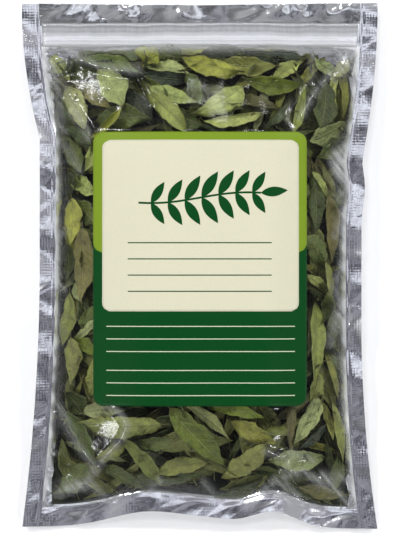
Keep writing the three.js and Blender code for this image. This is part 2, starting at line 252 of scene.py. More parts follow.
def mesh_object(name, points, faces, uv=None, colours=None):
    """Makes a smooth object from arrays of points, in millimetres, and four-sided faces."""
    mesh = bpy.data.meshes.new(name)
    mesh.vertices.add(len(points))
    mesh.vertices.foreach_set("co", (np.asarray(points) * MM).astype(np.float32).ravel())
    faces = np.asarray(faces, np.int32)
    mesh.loops.add(faces.size)
    mesh.loops.foreach_set("vertex_index", faces.ravel())
    mesh.polygons.add(len(faces))
    mesh.polygons.foreach_set("loop_start", np.arange(0, faces.size, 4, dtype=np.int32))
    mesh.polygons.foreach_set("use_smooth", np.ones(len(faces), bool))
    mesh.update(calc_edges=True)
    if uv is not None:
        layer = mesh.uv_layers.new(name="leaf")
        layer.data.foreach_set("uv", uv[faces.ravel()].astype(np.float32).ravel())
    if colours is not None:
        layer = mesh.color_attributes.new("tone", "FLOAT_COLOR", "POINT")
        rgba = np.concatenate([colours, np.ones((len(colours), 1))], axis=1)
        layer.data.foreach_set("color", rgba.astype(np.float32).ravel())
    mesh.validate()
    obj = bpy.data.objects.new(name, mesh)
    bpy.context.scene.collection.objects.link(obj)
    return obj


def grid_faces(rows, columns, start=0, flip=False):
    index = start + np.arange(rows * columns).reshape(rows, columns)
    corners = [index[:-1, :-1], index[:-1, 1:], index[1:, 1:], index[1:, :-1]]
    if flip:
        corners.reverse()
    return np.stack(corners, axis=-1).reshape(-1, 4)


def rim_faces(rows, columns, start=0):
    """Joins the rims of two grids that follow each other in the point list."""
    index = start + np.arange(rows * columns).reshape(rows, columns)
    rim = np.concatenate([index[0, :-1], index[:-1, -1], index[-1, :0:-1], index[:0:-1, 0]])
    below = rim + rows * columns
    return np.stack([rim, below, np.roll(below, -1), np.roll(rim, -1)], axis=-1)


def as_points(x, y, z):
    return np.stack([x, y, z], axis=-1).reshape(-1, 3)


def sheet_object(name, x, y, z, thick=None, tone=None):
    """Makes a sheet from grids of x, y and z. With a thickness, it is a closed solid."""
    top = as_points(x, y, z)
    rows, columns = x.shape
    faces = grid_faces(rows, columns)
    if thick is None:
        greys = None if tone is None else np.repeat(tone.reshape(-1, 1), 3, axis=1)
        return mesh_object(name, top, faces, colours=greys)
    bottom = as_points(x, y, z - thick)
    under = grid_faces(rows, columns, rows * columns, flip=True)
    faces = np.concatenate([faces, under, rim_faces(rows, columns)])
    return mesh_object(name, np.concatenate([top, bottom]), faces)


def waves(value, lengths, phases):
    """Sums a few sine waves into one irregular ripple of about unit height."""
    total = sum(np.sin(2 * math.pi * value / size + phase) for size, phase in zip(lengths, phases))
    return total / math.sqrt(len(lengths))


# Tent waves of crumpled foil: heading in radians, length in millimetres and steepness
TENT_WAVES = ((0.25, 13.0, 0.07), (1.35, 9.0, 0.06), (2.4, 19.0, 0.08))


def facets(x, y):
    """Crumpled foil: tent waves in several headings, which meet in sharp ridges."""
    total = np.zeros_like(x)
    bent = 0.5 * waves(0.8 * y - 0.6 * x, (29, 17, 11), (0.3, 2.1, 4.4))
    for heading, length, steep in TENT_WAVES:
        along = (x * math.cos(heading) + y * math.sin(heading)) / length + bent
        total += steep * length * np.abs((along % 1) - 0.5)
    return total


# Leaves

TONES = {
    "sage": (0.26, 0.295, 0.118),
    "pale": (0.31, 0.35, 0.102),
    "olive": (0.202, 0.224, 0.053),
    "yellow": (0.275, 0.285, 0.044),
    "bright": (0.105, 0.138, 0.012),
    "green": (0.085, 0.115, 0.024),
    "dark": (0.032, 0.048, 0.009),
    # A leaf in shadow under the film's bluish reflection: painted shade and painted reflection
    "shade_and_reflection": (0.042, 0.06, 0.038),
    "brown": (0.145, 0.135, 0.04),
}

# The leaves that have a solid of their own: base and tip in millimetres,
# width, sideways bend and tone
SOLID_LEAVES = [
    (-21.2, -88.1, -69.5, -87.3, 15.0, 1.0, "olive"),
    (-75.5, -81.0, -58.5, -112.5, 10.0, 1.2, "green"),
    (-16.7, -79.2, 14.2, -111.7, 16.5, -1.0, "bright"),
    (17.2, -86.8, 43.2, -98.8, 11.5, -1.0, "yellow"),
    (36.6, -99.0, 12.0, -119.0, 13.0, 1.5, "olive"),
    (70.5, -107.4, 37.5, -108.4, 12.0, 0.5, "sage"),
    (66.0, -73.0, 52.4, -99.4, 11.5, 1.0, "sage"),
    (64.6, -20.0, 64.0, -68.0, 9.5, 1.0, "olive"),
    (-72.3, -39.8, -72.4, -66.8, 11.0, 0.6, "olive"),
    (-65.6, 21.4, -66.7, -20.2, 14.0, 0.8, "brown"),
    (-72.0, 38.3, -72.6, 12.0, 11.0, 1.0, "yellow"),
    (-75.5, 100.5, -64.5, 76.0, 13.0, 1.0, "sage"),
    (-66.0, 115.5, -33.0, 108.0, 10.0, 2.0, "green"),
    (26.0, 104.5, 57.0, 101.7, 10.5, -2.5, "bright"),
    (24.0, 100.4, -4.3, 84.6, 17.0, 1.0, "pale"),
    (-30.2, 97.8, -7.7, 74.6, 12.0, 1.5, "olive"),
    (72.0, 39.0, 74.0, 1.5, 9.5, 1.0, "brown"),
    (70.5, 103.0, 67.5, 77.0, 15.0, 1.0, "dark"),
]

# Other leaves told apart in the photo, from the deepest to the nearest:
# base and tip in photo pixels, width in millimetres, tone, and the bend where it isn't 1
PHOTO_LEAVES = [
    (205, 56, 242, 52, 9, "shade_and_reflection"),
    (302, 58, 243, 53, 8, "shade_and_reflection"),
    (157, 55, 183, 62, 12, "green"),
    (188, 80, 139, 74, 10, "shade_and_reflection"),
    (203, 126, 160, 104, 14, "dark"),
    (250, 116, 198, 128, 9, "dark"),
    (288, 104, 262, 130, 6, "dark"),
    (139, 78, 170, 107, 9, "green"),
    (126, 92, 152, 126, 12, "shade_and_reflection"),
    (96, 122, 152, 120, 15, "green"),
    (62, 78, 104, 66, 14, "dark"),
    (58, 80, 113, 110, 8, "brown"),
    (122, 108, 88, 140, 6, "yellow"),
    (98, 70, 123, 108, 17, "sage"),
    (136, 77, 161, 110, 5, "olive"),
    (150, 88, 199, 103, 9, "pale", -1),
    (147, 68, 191, 76, 9, "sage", 2),
    (134, 51, 159, 65, 12, "yellow"),
    (186, 75, 200, 106, 9, "green"),
    (261, 114, 203, 122, 10, "pale"),
    (276, 66, 212, 62, 12, "olive"),
    (273, 82, 303, 61, 9, "pale"),
    (239, 72, 181, 57, 13.5, "yellow"),
    (303, 84, 291, 136, 7, "olive"),
    (339, 66, 337, 108, 4.5, "pale", -3),
    (346, 122, 309, 142, 12, "sage"),
    (346, 138, 316, 158, 10, "green"),
    (311, 168, 316, 232, 10, "dark"),
    (311, 172, 327, 199, 5, "pale"),
    (341, 184, 333, 212, 6, "green"),
    (306, 236, 323, 268, 12, "green"),
    (306, 275, 330, 297, 6, "pale"),
    (325, 262, 331, 299, 5, "olive"),
    (338, 304, 305, 286, 4, "dark"),
    (328, 292, 321, 324, 9, "green"),
    (310, 306, 307, 358, 5, "sage"),
    (334, 310, 324, 352, 8, "dark"),
    (331, 354, 339, 380, 6, "green"),
    (324, 350, 338, 400, 5, "olive"),
    (318, 372, 309, 404, 10, "olive"),
    (62, 128, 92, 146, 9, "dark"),
    (95, 142, 84, 172, 9, "olive"),
    (63, 136, 81, 174, 10, "green"),
    (97, 194, 69, 172, 10, "pale"),
    (68, 172, 66, 202, 8, "dark"),
    (96, 208, 72, 192, 8, "shade_and_reflection"),
    (72, 202, 98, 228, 12, "green"),
    (97, 246, 82, 226, 9, "green"),
    (66, 244, 68, 280, 8, "dark"),
    (82, 302, 76, 282, 5, "sage"),
    (70, 292, 62, 346, 9, "olive"),
    (97, 304, 79, 324, 7, "green"),
    (97, 318, 72, 340, 5, "sage"),
    (71, 340, 99, 356, 9, "bright"),
    (96, 356, 90, 396, 10, "olive"),
    (66, 392, 84, 418, 12, "dark"),
    (84, 412, 126, 409, 10, "sage"),
    (126, 440, 94, 459, 10, "olive"),
    (140, 450, 172, 470, 6, "dark"),
    (172, 438, 128, 442, 9, "green"),
    (122, 438, 161, 484, 10, "olive"),
    (98, 466, 147, 491, 9, "green"),
    (88, 464, 58, 492, 14, "green"),
    (158, 472, 207, 462, 11, "olive"),
    (268, 473, 219, 489, 10, "olive"),
    (262, 480, 214, 497, 9, "dark"),
    (276, 470, 244, 465, 6, "green"),
    (204, 404, 264, 417, 10, "bright"),
    (186, 403, 229, 438, 8, "sage"),
    (326, 424, 298, 448, 6, "shade_and_reflection"),
    (322, 402, 333, 440, 5, "olive"),
    (332, 402, 343, 462, 6, "olive"),
    (338, 456, 333, 492, 8, "green"),
    (345, 495, 298, 486, 8, "brown"),
]

# Leaves that fill the upper corners, where the film hides most of them
CORNER_LEAVES = [
    (50, 57, 70, 82, 9, "olive"),
    (74, 60, 48, 72, 8, "dark"),
    (342, 74, 314, 58, 8, "sage"),
    (348, 60, 330, 78, 7, "olive"),
]

# Steps of a blade's grid across and along it, and of the finer grid that it is fitted with
MIDRIB_STEPS = np.array([-1, -0.75, -0.45, -0.14, 0, 0.14, 0.45, 0.75, 1.0])
LENGTH_STEPS = np.concatenate([[-0.09, -0.04], np.linspace(0, 1, 17)])
DENSE_ACROSS = np.linspace(-1, 1, 15)
DENSE_ALONG = np.linspace(-0.02, 1, 70)

# Millimetres: the leaves, their least distance to the films, and the depth of the core
LEAF_THICK = 0.22
FRONT_CLEARANCE = 0.25
BACK_CLEARANCE = 0.6
CORE_DEPTH = 9.0
HIGHEST_LEAF = ZIP_LOW - 5

# How far out the leaves may lie, as a share of the half width, and tries to place each one
LEAF_EDGE_SHARE = 0.875
TRIES = 5

# The powers with which a blade's outline rises and falls add up to this
OUTLINE_POWERS = 1.4

# Painted light and shade in the colours of the leaves: brightened above and beside the label, darkened
# below it
UPPER_PAINTED_LIGHT = 1.15
LOWER_PAINTED_SHADE = 0.8

# Ranges of a leaf's chance values, in the order in which they are drawn, and a number of draws
# where it has several
LEAF_CHANCES = {
    "fold": (-1.3, 2.5),
    "curl": (-1.7, 2.1, 2),
    "arch": (-2.2, 2.2),
    "wave": (0.5, 1.8),
    "wave_count": (0.8, 2.4),
    "phase": (0, 2 * math.pi, 4),
    "tip_lift": (-0.8, 1.6),
    "twist": (-1.3, 1.3),
    "tilt": (-0.16, 0.16),
    "lean": (0.5, 1.0),
    "fuller": (0.55, 0.8),
    # How much one half of a blade is painted lighter than the other, as painted shade from its fold
    "painted_half_shade": (-0.14, 0.14),
    "ends": (-0.2, 0.2),
}


def new_leaf(base_x, base_y, tip_x, tip_y, width, bend, tone, shade):
    """Gives a leaf its place and its own chance folds, waves and colour, which its shade darkens or
    brightens as painted shade or painted light.
    """
    # The shade scales the colour: painted shade for deep and low leaves, painted light on the top ones
    colour = np.array(TONES[tone]) * random.uniform(0.82, 1.15) * shade
    colour = colour * random.uniform(0.96, 1.04, 3)
    leaf = {
        "base": np.array([base_x, base_y]),
        "tip": np.array([tip_x, tip_y]),
        "width": width,
        "bend": bend,
        "colour": colour,
    }
    return leaf | {key: random.uniform(*limits) for key, limits in LEAF_CHANCES.items()}


def half_width(leaf, u, v):
    """Half the blade's width along its length, with a narrow stalk before the blade."""
    share = np.clip(v, 0, 1)
    rise = leaf["fuller"]
    fall = OUTLINE_POWERS - rise
    peak = (rise / OUTLINE_POWERS) ** rise * (fall / OUTLINE_POWERS) ** fall
    blade = share**rise * (1 - share) ** fall / peak * leaf["width"] / 2
    blade = blade * (1 - 0.38 * smooth((share - 0.68) / 0.25) * smooth((1 - share) / 0.04))
    first = np.where(u < 0, leaf["phase"][0], leaf["phase"][1])
    second = np.where(u < 0, leaf["phase"][2], leaf["phase"][3])
    ripple = 1 + 0.12 * np.sin(8 * share + first) + 0.08 * np.sin(19 * share + second)
    ripple = ripple + 0.05 * np.sin(37 * share + 2 * first)
    stalk = np.where(v < 0.06, 0.42, 0.16)
    return np.maximum(blade * ripple, stalk)


def leaf_plan(leaf, u, v):
    """Places points of a blade from above: u runs from edge to edge and v from base to tip."""
    base, tip = leaf["base"], leaf["tip"]
    along = tip - base
    normal = np.array([-along[1], along[0]]) / np.hypot(*along)
    knee = (base + tip) / 2 + 2 * leaf["bend"] * normal
    inside = np.clip(v, 0, 1)[..., None]
    line = (1 - inside) ** 2 * base + 2 * inside * (1 - inside) * knee + inside**2 * tip
    tangent = 2 * (1 - inside) * (knee - base) + 2 * inside * (tip - knee)
    line = line + np.minimum(v, 0)[..., None] * tangent
    tangent = tangent / np.hypot(tangent[..., 0], tangent[..., 1])[..., None]
    side = np.stack([-tangent[..., 1], tangent[..., 0]], axis=-1)
    reach = u * half_width(leaf, u, v) * np.where(u < 0, leaf["lean"], 1)
    point = line + side * reach[..., None]
    return point[..., 0], point[..., 1]


def leaf_relief(leaf, u, v):
    """The blade's own shape: folded at its midrib, wavy at its edges, curled at its ends."""
    inside = np.clip(v, 0, 1)
    body = np.sin(math.pi * np.clip(inside, 0.02, 0.98)) ** 0.5
    edge = np.abs(u) ** 1.4 * body
    phases = leaf["phase"]
    phase = np.where(u < 0, phases[0], phases[1])
    wave = leaf["wave"] * np.sin(2 * math.pi * leaf["wave_count"] * inside + phase)
    relief = (leaf["fold"] + wave) * edge
    relief += leaf["tip_lift"] * inside**3 + leaf["twist"] * u * (inside - 0.5)
    relief += leaf["tilt"] * u * leaf["width"] / 2
    relief += np.where(u < 0, *leaf["curl"]) * np.abs(u) ** 4 * body
    relief += leaf["arch"] * (inside - 0.5) ** 2
    quilt = np.sin(2 * math.pi * (3.3 * inside + 0.8 * u) + phases[2])
    relief += 0.16 * quilt * np.sin(2 * math.pi * (1.3 * inside - 0.5 * u) + phases[3]) * body
    return relief


def surface_terms(u, v):
    """Terms of the smooth surface that a blade takes from what lies under it."""
    a = v - 0.5
    return np.stack([np.ones_like(a), a, u, a * a, a * u, u * u], axis=-1)


def fit_leaf(leaf, heap):
    """Lays a leaf on the heap so that it follows it and doesn't cut into it."""
    v, u = np.meshgrid(DENSE_ALONG, DENSE_ACROSS, indexing="ij")
    x, y = leaf_plan(leaf, u, v)
    under = look_up(heap, x, y)
    terms = surface_terms(u, v).reshape(-1, 6)
    leaf["surface"] = np.linalg.lstsq(terms, under.ravel(), rcond=None)[0]
    level = surface_terms(u, v) @ leaf["surface"] + leaf_relief(leaf, u, v)
    leaf["lift"] = np.quantile(under - level, 0.96) + 0.1
    z = level + leaf["lift"] + LEAF_THICK
    columns = np.clip(np.round(x - GRID_X[0]).astype(int), 0, len(GRID_X) - 1)
    rows = np.clip(np.round(y - GRID_Y[0]).astype(int), 0, len(GRID_Y) - 1)
    np.maximum.at(heap, (rows, columns), z)


def leaf_fits(leaf):
    """Says whether a blade lies inside the filled part of the pouch."""
    v, u = np.meshgrid(np.linspace(0, 1, 7), np.array([-1.0, 1.0]), indexing="ij")
    x, y = leaf_plan(leaf, u, v)
    across = across_at(x, y)
    low = bottom_inner(across * HALF_WIDTH) + 1.5
    return bool((np.abs(across) < LEAF_EDGE_SHARE).all() and (y > low).all() and (y < HIGHEST_LEAF).all())


def under_label(x, y, inset):
    across = abs(x - LABEL_X) < LABEL_WIDTH / 2 - inset
    return across and abs(y - LABEL_Y) < LABEL_HEIGHT / 2 - inset


def scatter_leaves(tones, spacing, inset, shade):
    """Spreads leaves with chance headings over the filled part, but not deep under the label."""
    leaves = []
    for row in np.arange(-HALF_LENGTH, ZIP_LOW, spacing):
        for column in np.arange(-HALF_WIDTH, HALF_WIDTH, spacing):
            for _ in range(TRIES):
                x, y = np.array([column, row]) + random.uniform(-0.6, 0.6, 2) * spacing
                heading = random.uniform(0, 2 * math.pi)
                length = random.uniform(27, 45)
                reach = np.array([math.cos(heading), math.sin(heading)]) * length / 2
                width = length * random.uniform(0.13, 0.33)
                ends = (x - reach[0], y - reach[1], x + reach[0], y + reach[1])
                leaf = new_leaf(*ends, width, random.uniform(-4, 4), random.choice(tones), shade)
                if under_label(x, y, inset):
                    break
                if leaf_fits(leaf):
                    leaves.append(leaf)
                    break
    order = random.permutation(len(leaves))
    return [leaves[k] for k in order]


def leaf_arrays(leaf, settle, ceiling):
    """Gives a leaf's points, texture places and colours, top side first."""
    v, u = np.meshgrid(LENGTH_STEPS, MIDRIB_STEPS, indexing="ij")
    x, y = leaf_plan(leaf, u, v)
    z = surface_terms(u, v) @ leaf["surface"] + leaf_relief(leaf, u, v) + leaf["lift"]
    z = z - look_up(settle, x, y)
    z = np.maximum(z, look_up(BACK_FIELD, x, y) + BACK_CLEARANCE)
    z = np.minimum(z, look_up(ceiling, x, y) - FRONT_CLEARANCE)
    half = LEAF_THICK / 2
    points = np.concatenate([as_points(x, y, z + half), as_points(x, y, z - half)])
    uv = np.stack([(u + 1) / 2, v], axis=-1).reshape(-1, 2)
    stalk = smooth((0.04 - v.ravel()) / 0.05)[:, None]
    # One half of the blade is painted lighter or darker, as shade from its fold, and its tone also
    # changes towards the tip
    half_shade_and_tint = (1 + leaf["painted_half_shade"] * np.sign(u) + leaf["ends"] * (v - 0.5)).ravel()[:, None]
    colours = lerp(leaf["colour"] * half_shade_and_tint, np.array(TONES["brown"]) * 0.8, stalk)
    return points, np.concatenate([uv, uv]), np.concatenate([colours, colours])


def leaves_object(name, leaves, settle, ceiling):
    rows, columns = len(LENGTH_STEPS), len(MIDRIB_STEPS)
    count = rows * columns
    top, bottom = grid_faces(rows, columns, flip=True), grid_faces(rows, columns, count)
    blade = np.concatenate([top, bottom, rim_faces(rows, columns)[:, ::-1]])
    parts = [leaf_arrays(leaf, settle, ceiling) for leaf in leaves]
    points, uv, colours = [np.concatenate(arrays) for arrays in zip(*parts)]
    faces = np.concatenate([blade + 2 * count * k for k in range(len(leaves))])
    return mesh_object(name, points, faces, uv, colours)


def painted_shade_at(y):
    """The leaves below the label are darker in the photo than the others."""
    # Painted shade darkens the leaves below the label, and painted light brightens the others
    return LOWER_PAINTED_SHADE if y < LABEL_BOTTOM else UPPER_PAINTED_LIGHT


def photo_leaf(base_x, base_y, tip_x, tip_y, width, tone, bend=1):
    base, tip = from_photo(base_x, base_y), from_photo(tip_x, tip_y)
    return new_leaf(*base, *tip, width, bend, tone, painted_shade_at(base[1]))


room = np.maximum(FRONT_FIELD - BACK_FIELD, 0.5)
core_field = BACK_FIELD + room * np.maximum(0.3, 1 - CORE_DEPTH / room)
heap_field = core_field.copy()

# Layers of scattered leaves, the deepest first: the deeper a layer lies, the more its shade darkens its
# colours, as painted shade between the leaves
DEEP_TONES = ["dark", "dark", "green", "olive", "shade_and_reflection"]
MIDDLE_TONES = ["dark", "green", "olive", "sage", "shade_and_reflection"]
UPPER_TONES = ["green", "green", "olive", "olive", "sage", "yellow", "brown"]
deep_leaves = scatter_leaves(DEEP_TONES, spacing=12, inset=16, shade=0.08)
middle_leaves = scatter_leaves(MIDDLE_TONES, spacing=11.5, inset=14, shade=0.21)
upper_leaves = scatter_leaves(UPPER_TONES, spacing=13, inset=12, shade=0.55)
front_leaves = [photo_leaf(*row) for row in PHOTO_LEAVES]
solid_leaves = [new_leaf(*row, painted_shade_at(row[1])) for row in SOLID_LEAVES]
# Drawn after the others, whose chance values depend on the order of the draws
front_leaves += [photo_leaf(*row) for row in CORNER_LEAVES]
all_leaves = deep_leaves + middle_leaves + upper_leaves + front_leaves + solid_leaves
for leaf in all_leaves:
    fit_leaf(leaf, heap_field)

# The heap settles until its high points lie just under the front film
settle_field = blur(spread_peaks(heap_field, 4), 6) - (FRONT_FIELD - 0.5)
settle_field = np.where(INSIDE, settle_field, 0)
heap_top = np.where(INSIDE, heap_field - settle_field, FRONT_FIELD - 2)
heap_top = np.minimum(heap_top, FRONT_FIELD + 0.3)


def stretch_film(obstacle, least, rounds):
    """Lets the film tighten over the heap like a stretched skin, as an offset from its dome."""
    lowest = np.maximum(obstacle, least)
    film = np.where(INSIDE, lowest, 0)
    for _ in range(rounds):
        around = np.roll(film, 1, 0) + np.roll(film, -1, 0) + np.roll(film, 1, 1) + np.roll(film, -1, 1)
        film = np.where(INSIDE, np.maximum(around / 4, lowest), 0)
    return film


stretched = stretch_film(heap_top + FRONT_CLEARANCE - FRONT_FIELD, least=-1.6, rounds=60)
film_offset = blur(stretched, 3.0)
label_offset = blur(spread_peaks(film_offset, 4), 7) + 0.3


def label_cover(x, y):
    """1 well inside the label's outline, 0 outside it."""
    side = LABEL_WIDTH / 2 - np.abs(x - LABEL_X)
    end = LABEL_HEIGHT / 2 - np.abs(y - LABEL_Y)
    return smooth((np.minimum(side, end) + 1.5) / 2.5)


cover = label_cover(FIELD_X, FIELD_Y)
film_offset = lerp(film_offset, label_offset - 0.2, cover)
film_field = FRONT_FIELD + film_offset

# Creases in the front film: points in photo pixels, height and width in millimetres
CREASES = [
    ([(70, 51), (82, 59), (96, 65), (112, 69), (138, 72)], 1.7, 5.0),
    ([(137, 78), (150, 108)], -0.9, 3.0),
    ([(60, 80), (72, 100), (84, 122)], 0.8, 3.0),
    ([(72, 112), (84, 126), (90, 138)], 1.5, 4.5),
    ([(41, 48), (47, 60), (56, 76), (60, 100), (62, 128)], 1.3, 4.0),
    ([(331, 73), (320, 86), (312, 97), (300, 118)], 1.2, 5.5),
    ([(312, 60), (311, 82)], 0.8, 3.0),
    ([(356, 52), (340, 60)], 0.9, 3.0),
    ([(356, 56), (344, 66), (334, 80)], 0.8, 3.0),
    ([(350, 143), (331, 158), (340, 176), (350, 188)], 2.0, 4.5),
    ([(331, 158), (350, 162)], 1.3, 3.5),
    ([(346, 186), (336, 198)], 1.0, 3.0),
    ([(340, 216), (334, 236)], 1.0, 3.5),
    ([(342, 262), (333, 284), (340, 306)], 1.2, 4.0),
    ([(62, 140), (74, 156), (80, 171)], 0.9, 3.0),
    ([(56, 130), (66, 132)], 1.0, 3.5),
    ([(345, 310), (334, 318), (328, 345)], 1.0, 3.0),
    ([(345, 360), (335, 357), (343, 370)], 1.0, 3.0),
    ([(58, 285), (66, 288)], 1.0, 4.0),
    ([(56, 240), (66, 232)], 1.0, 4.0),
    ([(104, 402), (120, 412), (128, 424), (122, 438), (104, 458), (94, 472)], 1.3, 3.6),
    ([(60, 405), (76, 440), (88, 456), (96, 466)], 1.3, 4.5),
    ([(96, 466), (88, 482), (60, 492)], 1.5, 4.5),
    ([(52, 496), (88, 480), (104, 494)], 1.0, 4.0),
    ([(266, 450), (280, 456), (292, 452), (284, 470)], 1.1, 3.8),
    ([(292, 452), (312, 460)], 1.0, 3.6),
    ([(284, 476), (292, 472), (302, 470), (322, 483), (338, 492), (352, 508)], 2.0, 6.0),
    ([(322, 474), (334, 488)], 1.2, 3.5),
    ([(254, 498), (276, 478), (298, 496)], 1.6, 4.5),
    ([(214, 492), (204, 480)], 1.0, 3.5),
    ([(150, 490), (160, 478)], 1.0, 3.5),
    ([(124, 48), (168, 50), (214, 48)], 0.8, 3.0),
]


def line_distance(points, x, y):
    """Distance to a line of points that are given in photo pixels."""
    line = np.array([from_photo(*point) for point in points])
    nearest = np.full(x.shape, 1e9)
    for start, end in zip(line[:-1], line[1:]):
        step = end - start
        share = ((x - start[0]) * step[0] + (y - start[1]) * step[1]) / step.dot(step)
        share = np.clip(share, 0, 1)
        gap = np.hypot(x - start[0] - share * step[0], y - start[1] - share * step[1])
        nearest = np.minimum(nearest, gap)
    return nearest


def crease_relief(x, y):
    """Height that the creases add to the film, highest along each line."""
    total = np.zeros_like(x)
    for points, height, width in CREASES:
        total += height * np.clip(1 - line_distance(points, x, y) / width, 0, 1)
    return total


# Around the large creases the film stands clear of the leaves, so it is smooth there. Along each crease
# the film is painted milky white, partly as the milkiness of stretched film and partly as a painted
# highlight along the fold
LARGE_CREASE = 1.2
CALM_REACH = 8
FULL_HAZE_AND_HIGHLIGHT = 1.6
HAZE_AND_HIGHLIGHT_REACH = 2.2
calm = np.zeros_like(FIELD_X)
fold_haze_and_highlight = np.zeros_like(FIELD_X)
for points, height, width in CREASES:
    gap = line_distance(points, FIELD_X, FIELD_Y)
    fold_haze_and_highlight = np.maximum(fold_haze_and_highlight, min(height, FULL_HAZE_AND_HIGHLIGHT) / FULL_HAZE_AND_HIGHLIGHT * hump(gap, 0, HAZE_AND_HIGHLIGHT_REACH))
    if height >= LARGE_CREASE:
        calm = np.maximum(calm, hump(gap, 0, CALM_REACH))
film_offset = lerp(film_offset, blur(film_offset, 5) + 0.3, calm)


# Places where the film is painted milky white, partly as stretched film and partly as painted reflections
# off its pinched facets: middle and reach in photo pixels, and strength
MILKY_REFLECTION_SPOTS = (
    (340, 166, 8, 17, 0.36),
    (345, 235, 5, 40, 0.26),
    (341, 315, 7, 14, 0.22),
    (346, 400, 5, 30, 0.20),
    (50, 75, 7, 18, 0.22),
    (345, 62, 12, 14, 0.25),
    (60, 60, 14, 7, 0.14),
    (56, 250, 4, 30, 0.15),
    (335, 478, 20, 7, 0.14),
    (75, 485, 18, 7, 0.14),
)


def milky_reflection_spots(x, y):
    total = np.zeros_like(x)
    for px, py, reach_x, reach_y, strength in MILKY_REFLECTION_SPOTS:
        middle = from_photo(px, py)
        across = (x - middle[0]) / (reach_x * PHOTO_MM)
        along = (y - middle[1]) / (reach_y * PHOTO_MM)
        total = np.maximum(total, strength * np.exp(-(across ** 2) - along ** 2))
    return total


# Light and dark bands of the seals: photo rows or columns, and the foil's tilt there, in degrees
LEFT_BANDS = (
    [4, 20, 38, 45, 54, 66, 78, 98, 112, 124, 135, 146, 158, 170, 182, 190, 204, 222]
    + [236, 243, 256, 270, 286, 296, 304, 316, 332, 345, 358, 380, 404, 424, 446, 470, 492, 526],
    [2, -5, 4, 5, -3, -7, -4, 3, -2, 4, 7, -3, 3, -7, -5, 5, 1, 2]
    + [-6, -4, 6, 3, -4, -2, 7, -5, 2, 6, -4, 3, -4, 4, -5, 3, 6, 2],
)
RIGHT_BANDS = (
    [4, 16, 28, 40, 52, 60, 70, 90, 112, 130, 150, 164, 178, 190, 206, 224, 240, 254, 268]
    + [280, 296, 308, 320, 334, 350, 362, 376, 390, 404, 424, 448, 470, 498, 526],
    [3, -6, 3, -6, 3, 5, 2, -3, 4, -4, 3, -2, -5, 6, 4, 7, 3, -6, 4]
    + [5, -2, 4, -4, -7, -3, 6, 5, -3, 3, -5, 5, -3, 4, 2],
)
BOTTOM_BANDS = (
    [22, 45, 60, 78, 92, 104, 120, 140, 160, 180, 200, 220, 240, 258, 270, 285, 300, 320, 335, 350, 362],
    [3, 6, 6, -3, 5, -4, -2, -3, -1, -3, -2, -4, -1, 2, -4, 5, -4, 6, 6, -3, 4],
)
LIP_BANDS = (
    [22, 42, 60, 92, 100, 116, 124, 132, 140, 172, 180, 190, 200, 240, 262, 270, 277, 283, 291, 300]
    + [308, 320, 328, 336, 344, 356, 362],
    [-3, 4, 5, 4, -6, -5, 8, 6, -7, -5, 7, 4, -5, -6, -3, 7, -5, 6, -6, 8]
    + [-5, -6, 7, 3, -4, 4, -3],
)


# How much steeper the foil is than the bands say, on the ends and on the sides, and how far
# around a place its slow rise and fall is averaged out
RIPPLE_GAIN = (2.0, 1.9)
RIPPLE_REACH = 30


def ripple_profile(bands, axis):
    """Adds up the tilts of the bands into a height, on the grid of rows or columns."""
    line = GRID_X if axis == 0 else GRID_Y
    places = [from_photo(p, p)[axis] for p in bands[0]]
    order = np.argsort(places)
    tilts = np.interp(line, np.array(places)[order], np.array(bands[1])[order])
    height = -np.cumsum(np.tan(np.radians(RIPPLE_GAIN[axis] * tilts)))
    span = 2 * RIPPLE_REACH + 1
    padded = np.pad(height, RIPPLE_REACH, mode="edge")
    slow = np.convolve(padded, np.ones(span) / span, mode="valid")
    return line, height - slow


LEFT_RIPPLE = ripple_profile(LEFT_BANDS, 1)
RIGHT_RIPPLE = ripple_profile(RIGHT_BANDS, 1)
BOTTOM_RIPPLE = ripple_profile(BOTTOM_BANDS, 0)
LIP_RIPPLE = ripple_profile(LIP_BANDS, 0)


def seam_ripple(across, y):
    """Slow waves along the side seals, which the foil shows as light and dark bands."""
    left = np.interp(y, *LEFT_RIPPLE)
    right = np.interp(y, *RIGHT_RIPPLE)
    return np.where(across < 0, left, right)


def seam_distances(across, x, y):
    side = (SEAL_SHARE - np.abs(across)) * HALF_WIDTH
    bottom = y - bottom_inner(across * HALF_WIDTH)
    return side, bottom, ZIP_LOW - y


def pucker(across, x, y):
    """Small gathers that run in from the seams and die out."""
    side, bottom, top = seam_distances(across, x, y)
    along_side = waves(y, (13, 7.9, 5.3, 10.1), (0.5, 2.2, 4.0, 1.7))
    along_end = waves(x, (15, 8.7, 6.1, 11.3), (1.5, 0.2, 3.0, 5.7))

    def reach(distance, length):
        near = np.maximum(distance, 0) / length
        return near * np.exp(1 - near)

    total = 0.5 * along_side * reach(side, 4.0)
    total += 0.34 * along_end * reach(bottom, 6.0)
    total += 0.35 * along_end * reach(top, 5.0)
    return total


def front_film_height(across, x, y):
    side, bottom, top = seam_distances(across, x, y)
    nearest = np.minimum(np.minimum(side, bottom), np.maximum(top, 0))
    inside = smooth(nearest / 5)
    loose = 1 - look_up(cover, x, y)
    z = front_height(across, y) + smooth_look_up(film_offset, x, y) * inside
    z += (crease_relief(x, y) * smooth(nearest / 3) + pucker(across, x, y)) * loose
    z += 0.3 * seam_ripple(across, y) * np.exp(-np.maximum(side, 0) / 5)
    return z


def lip_relief(x, y):
    """Shallow pleats that fade from the top edge to the zip."""
    share = np.clip((y - ZIP_HIGH) / 9, 0, 1)
    pleats = np.interp(x + 0.4 * (y - HALF_LENGTH), *LIP_RIPPLE)
    return (1.3 * pleats + 2.0 * facets(0.5 * x, 0.6 * y)) * share - 0.02 * np.maximum(y - ZIP_HIGH, 0)


# Pieces of the pouch

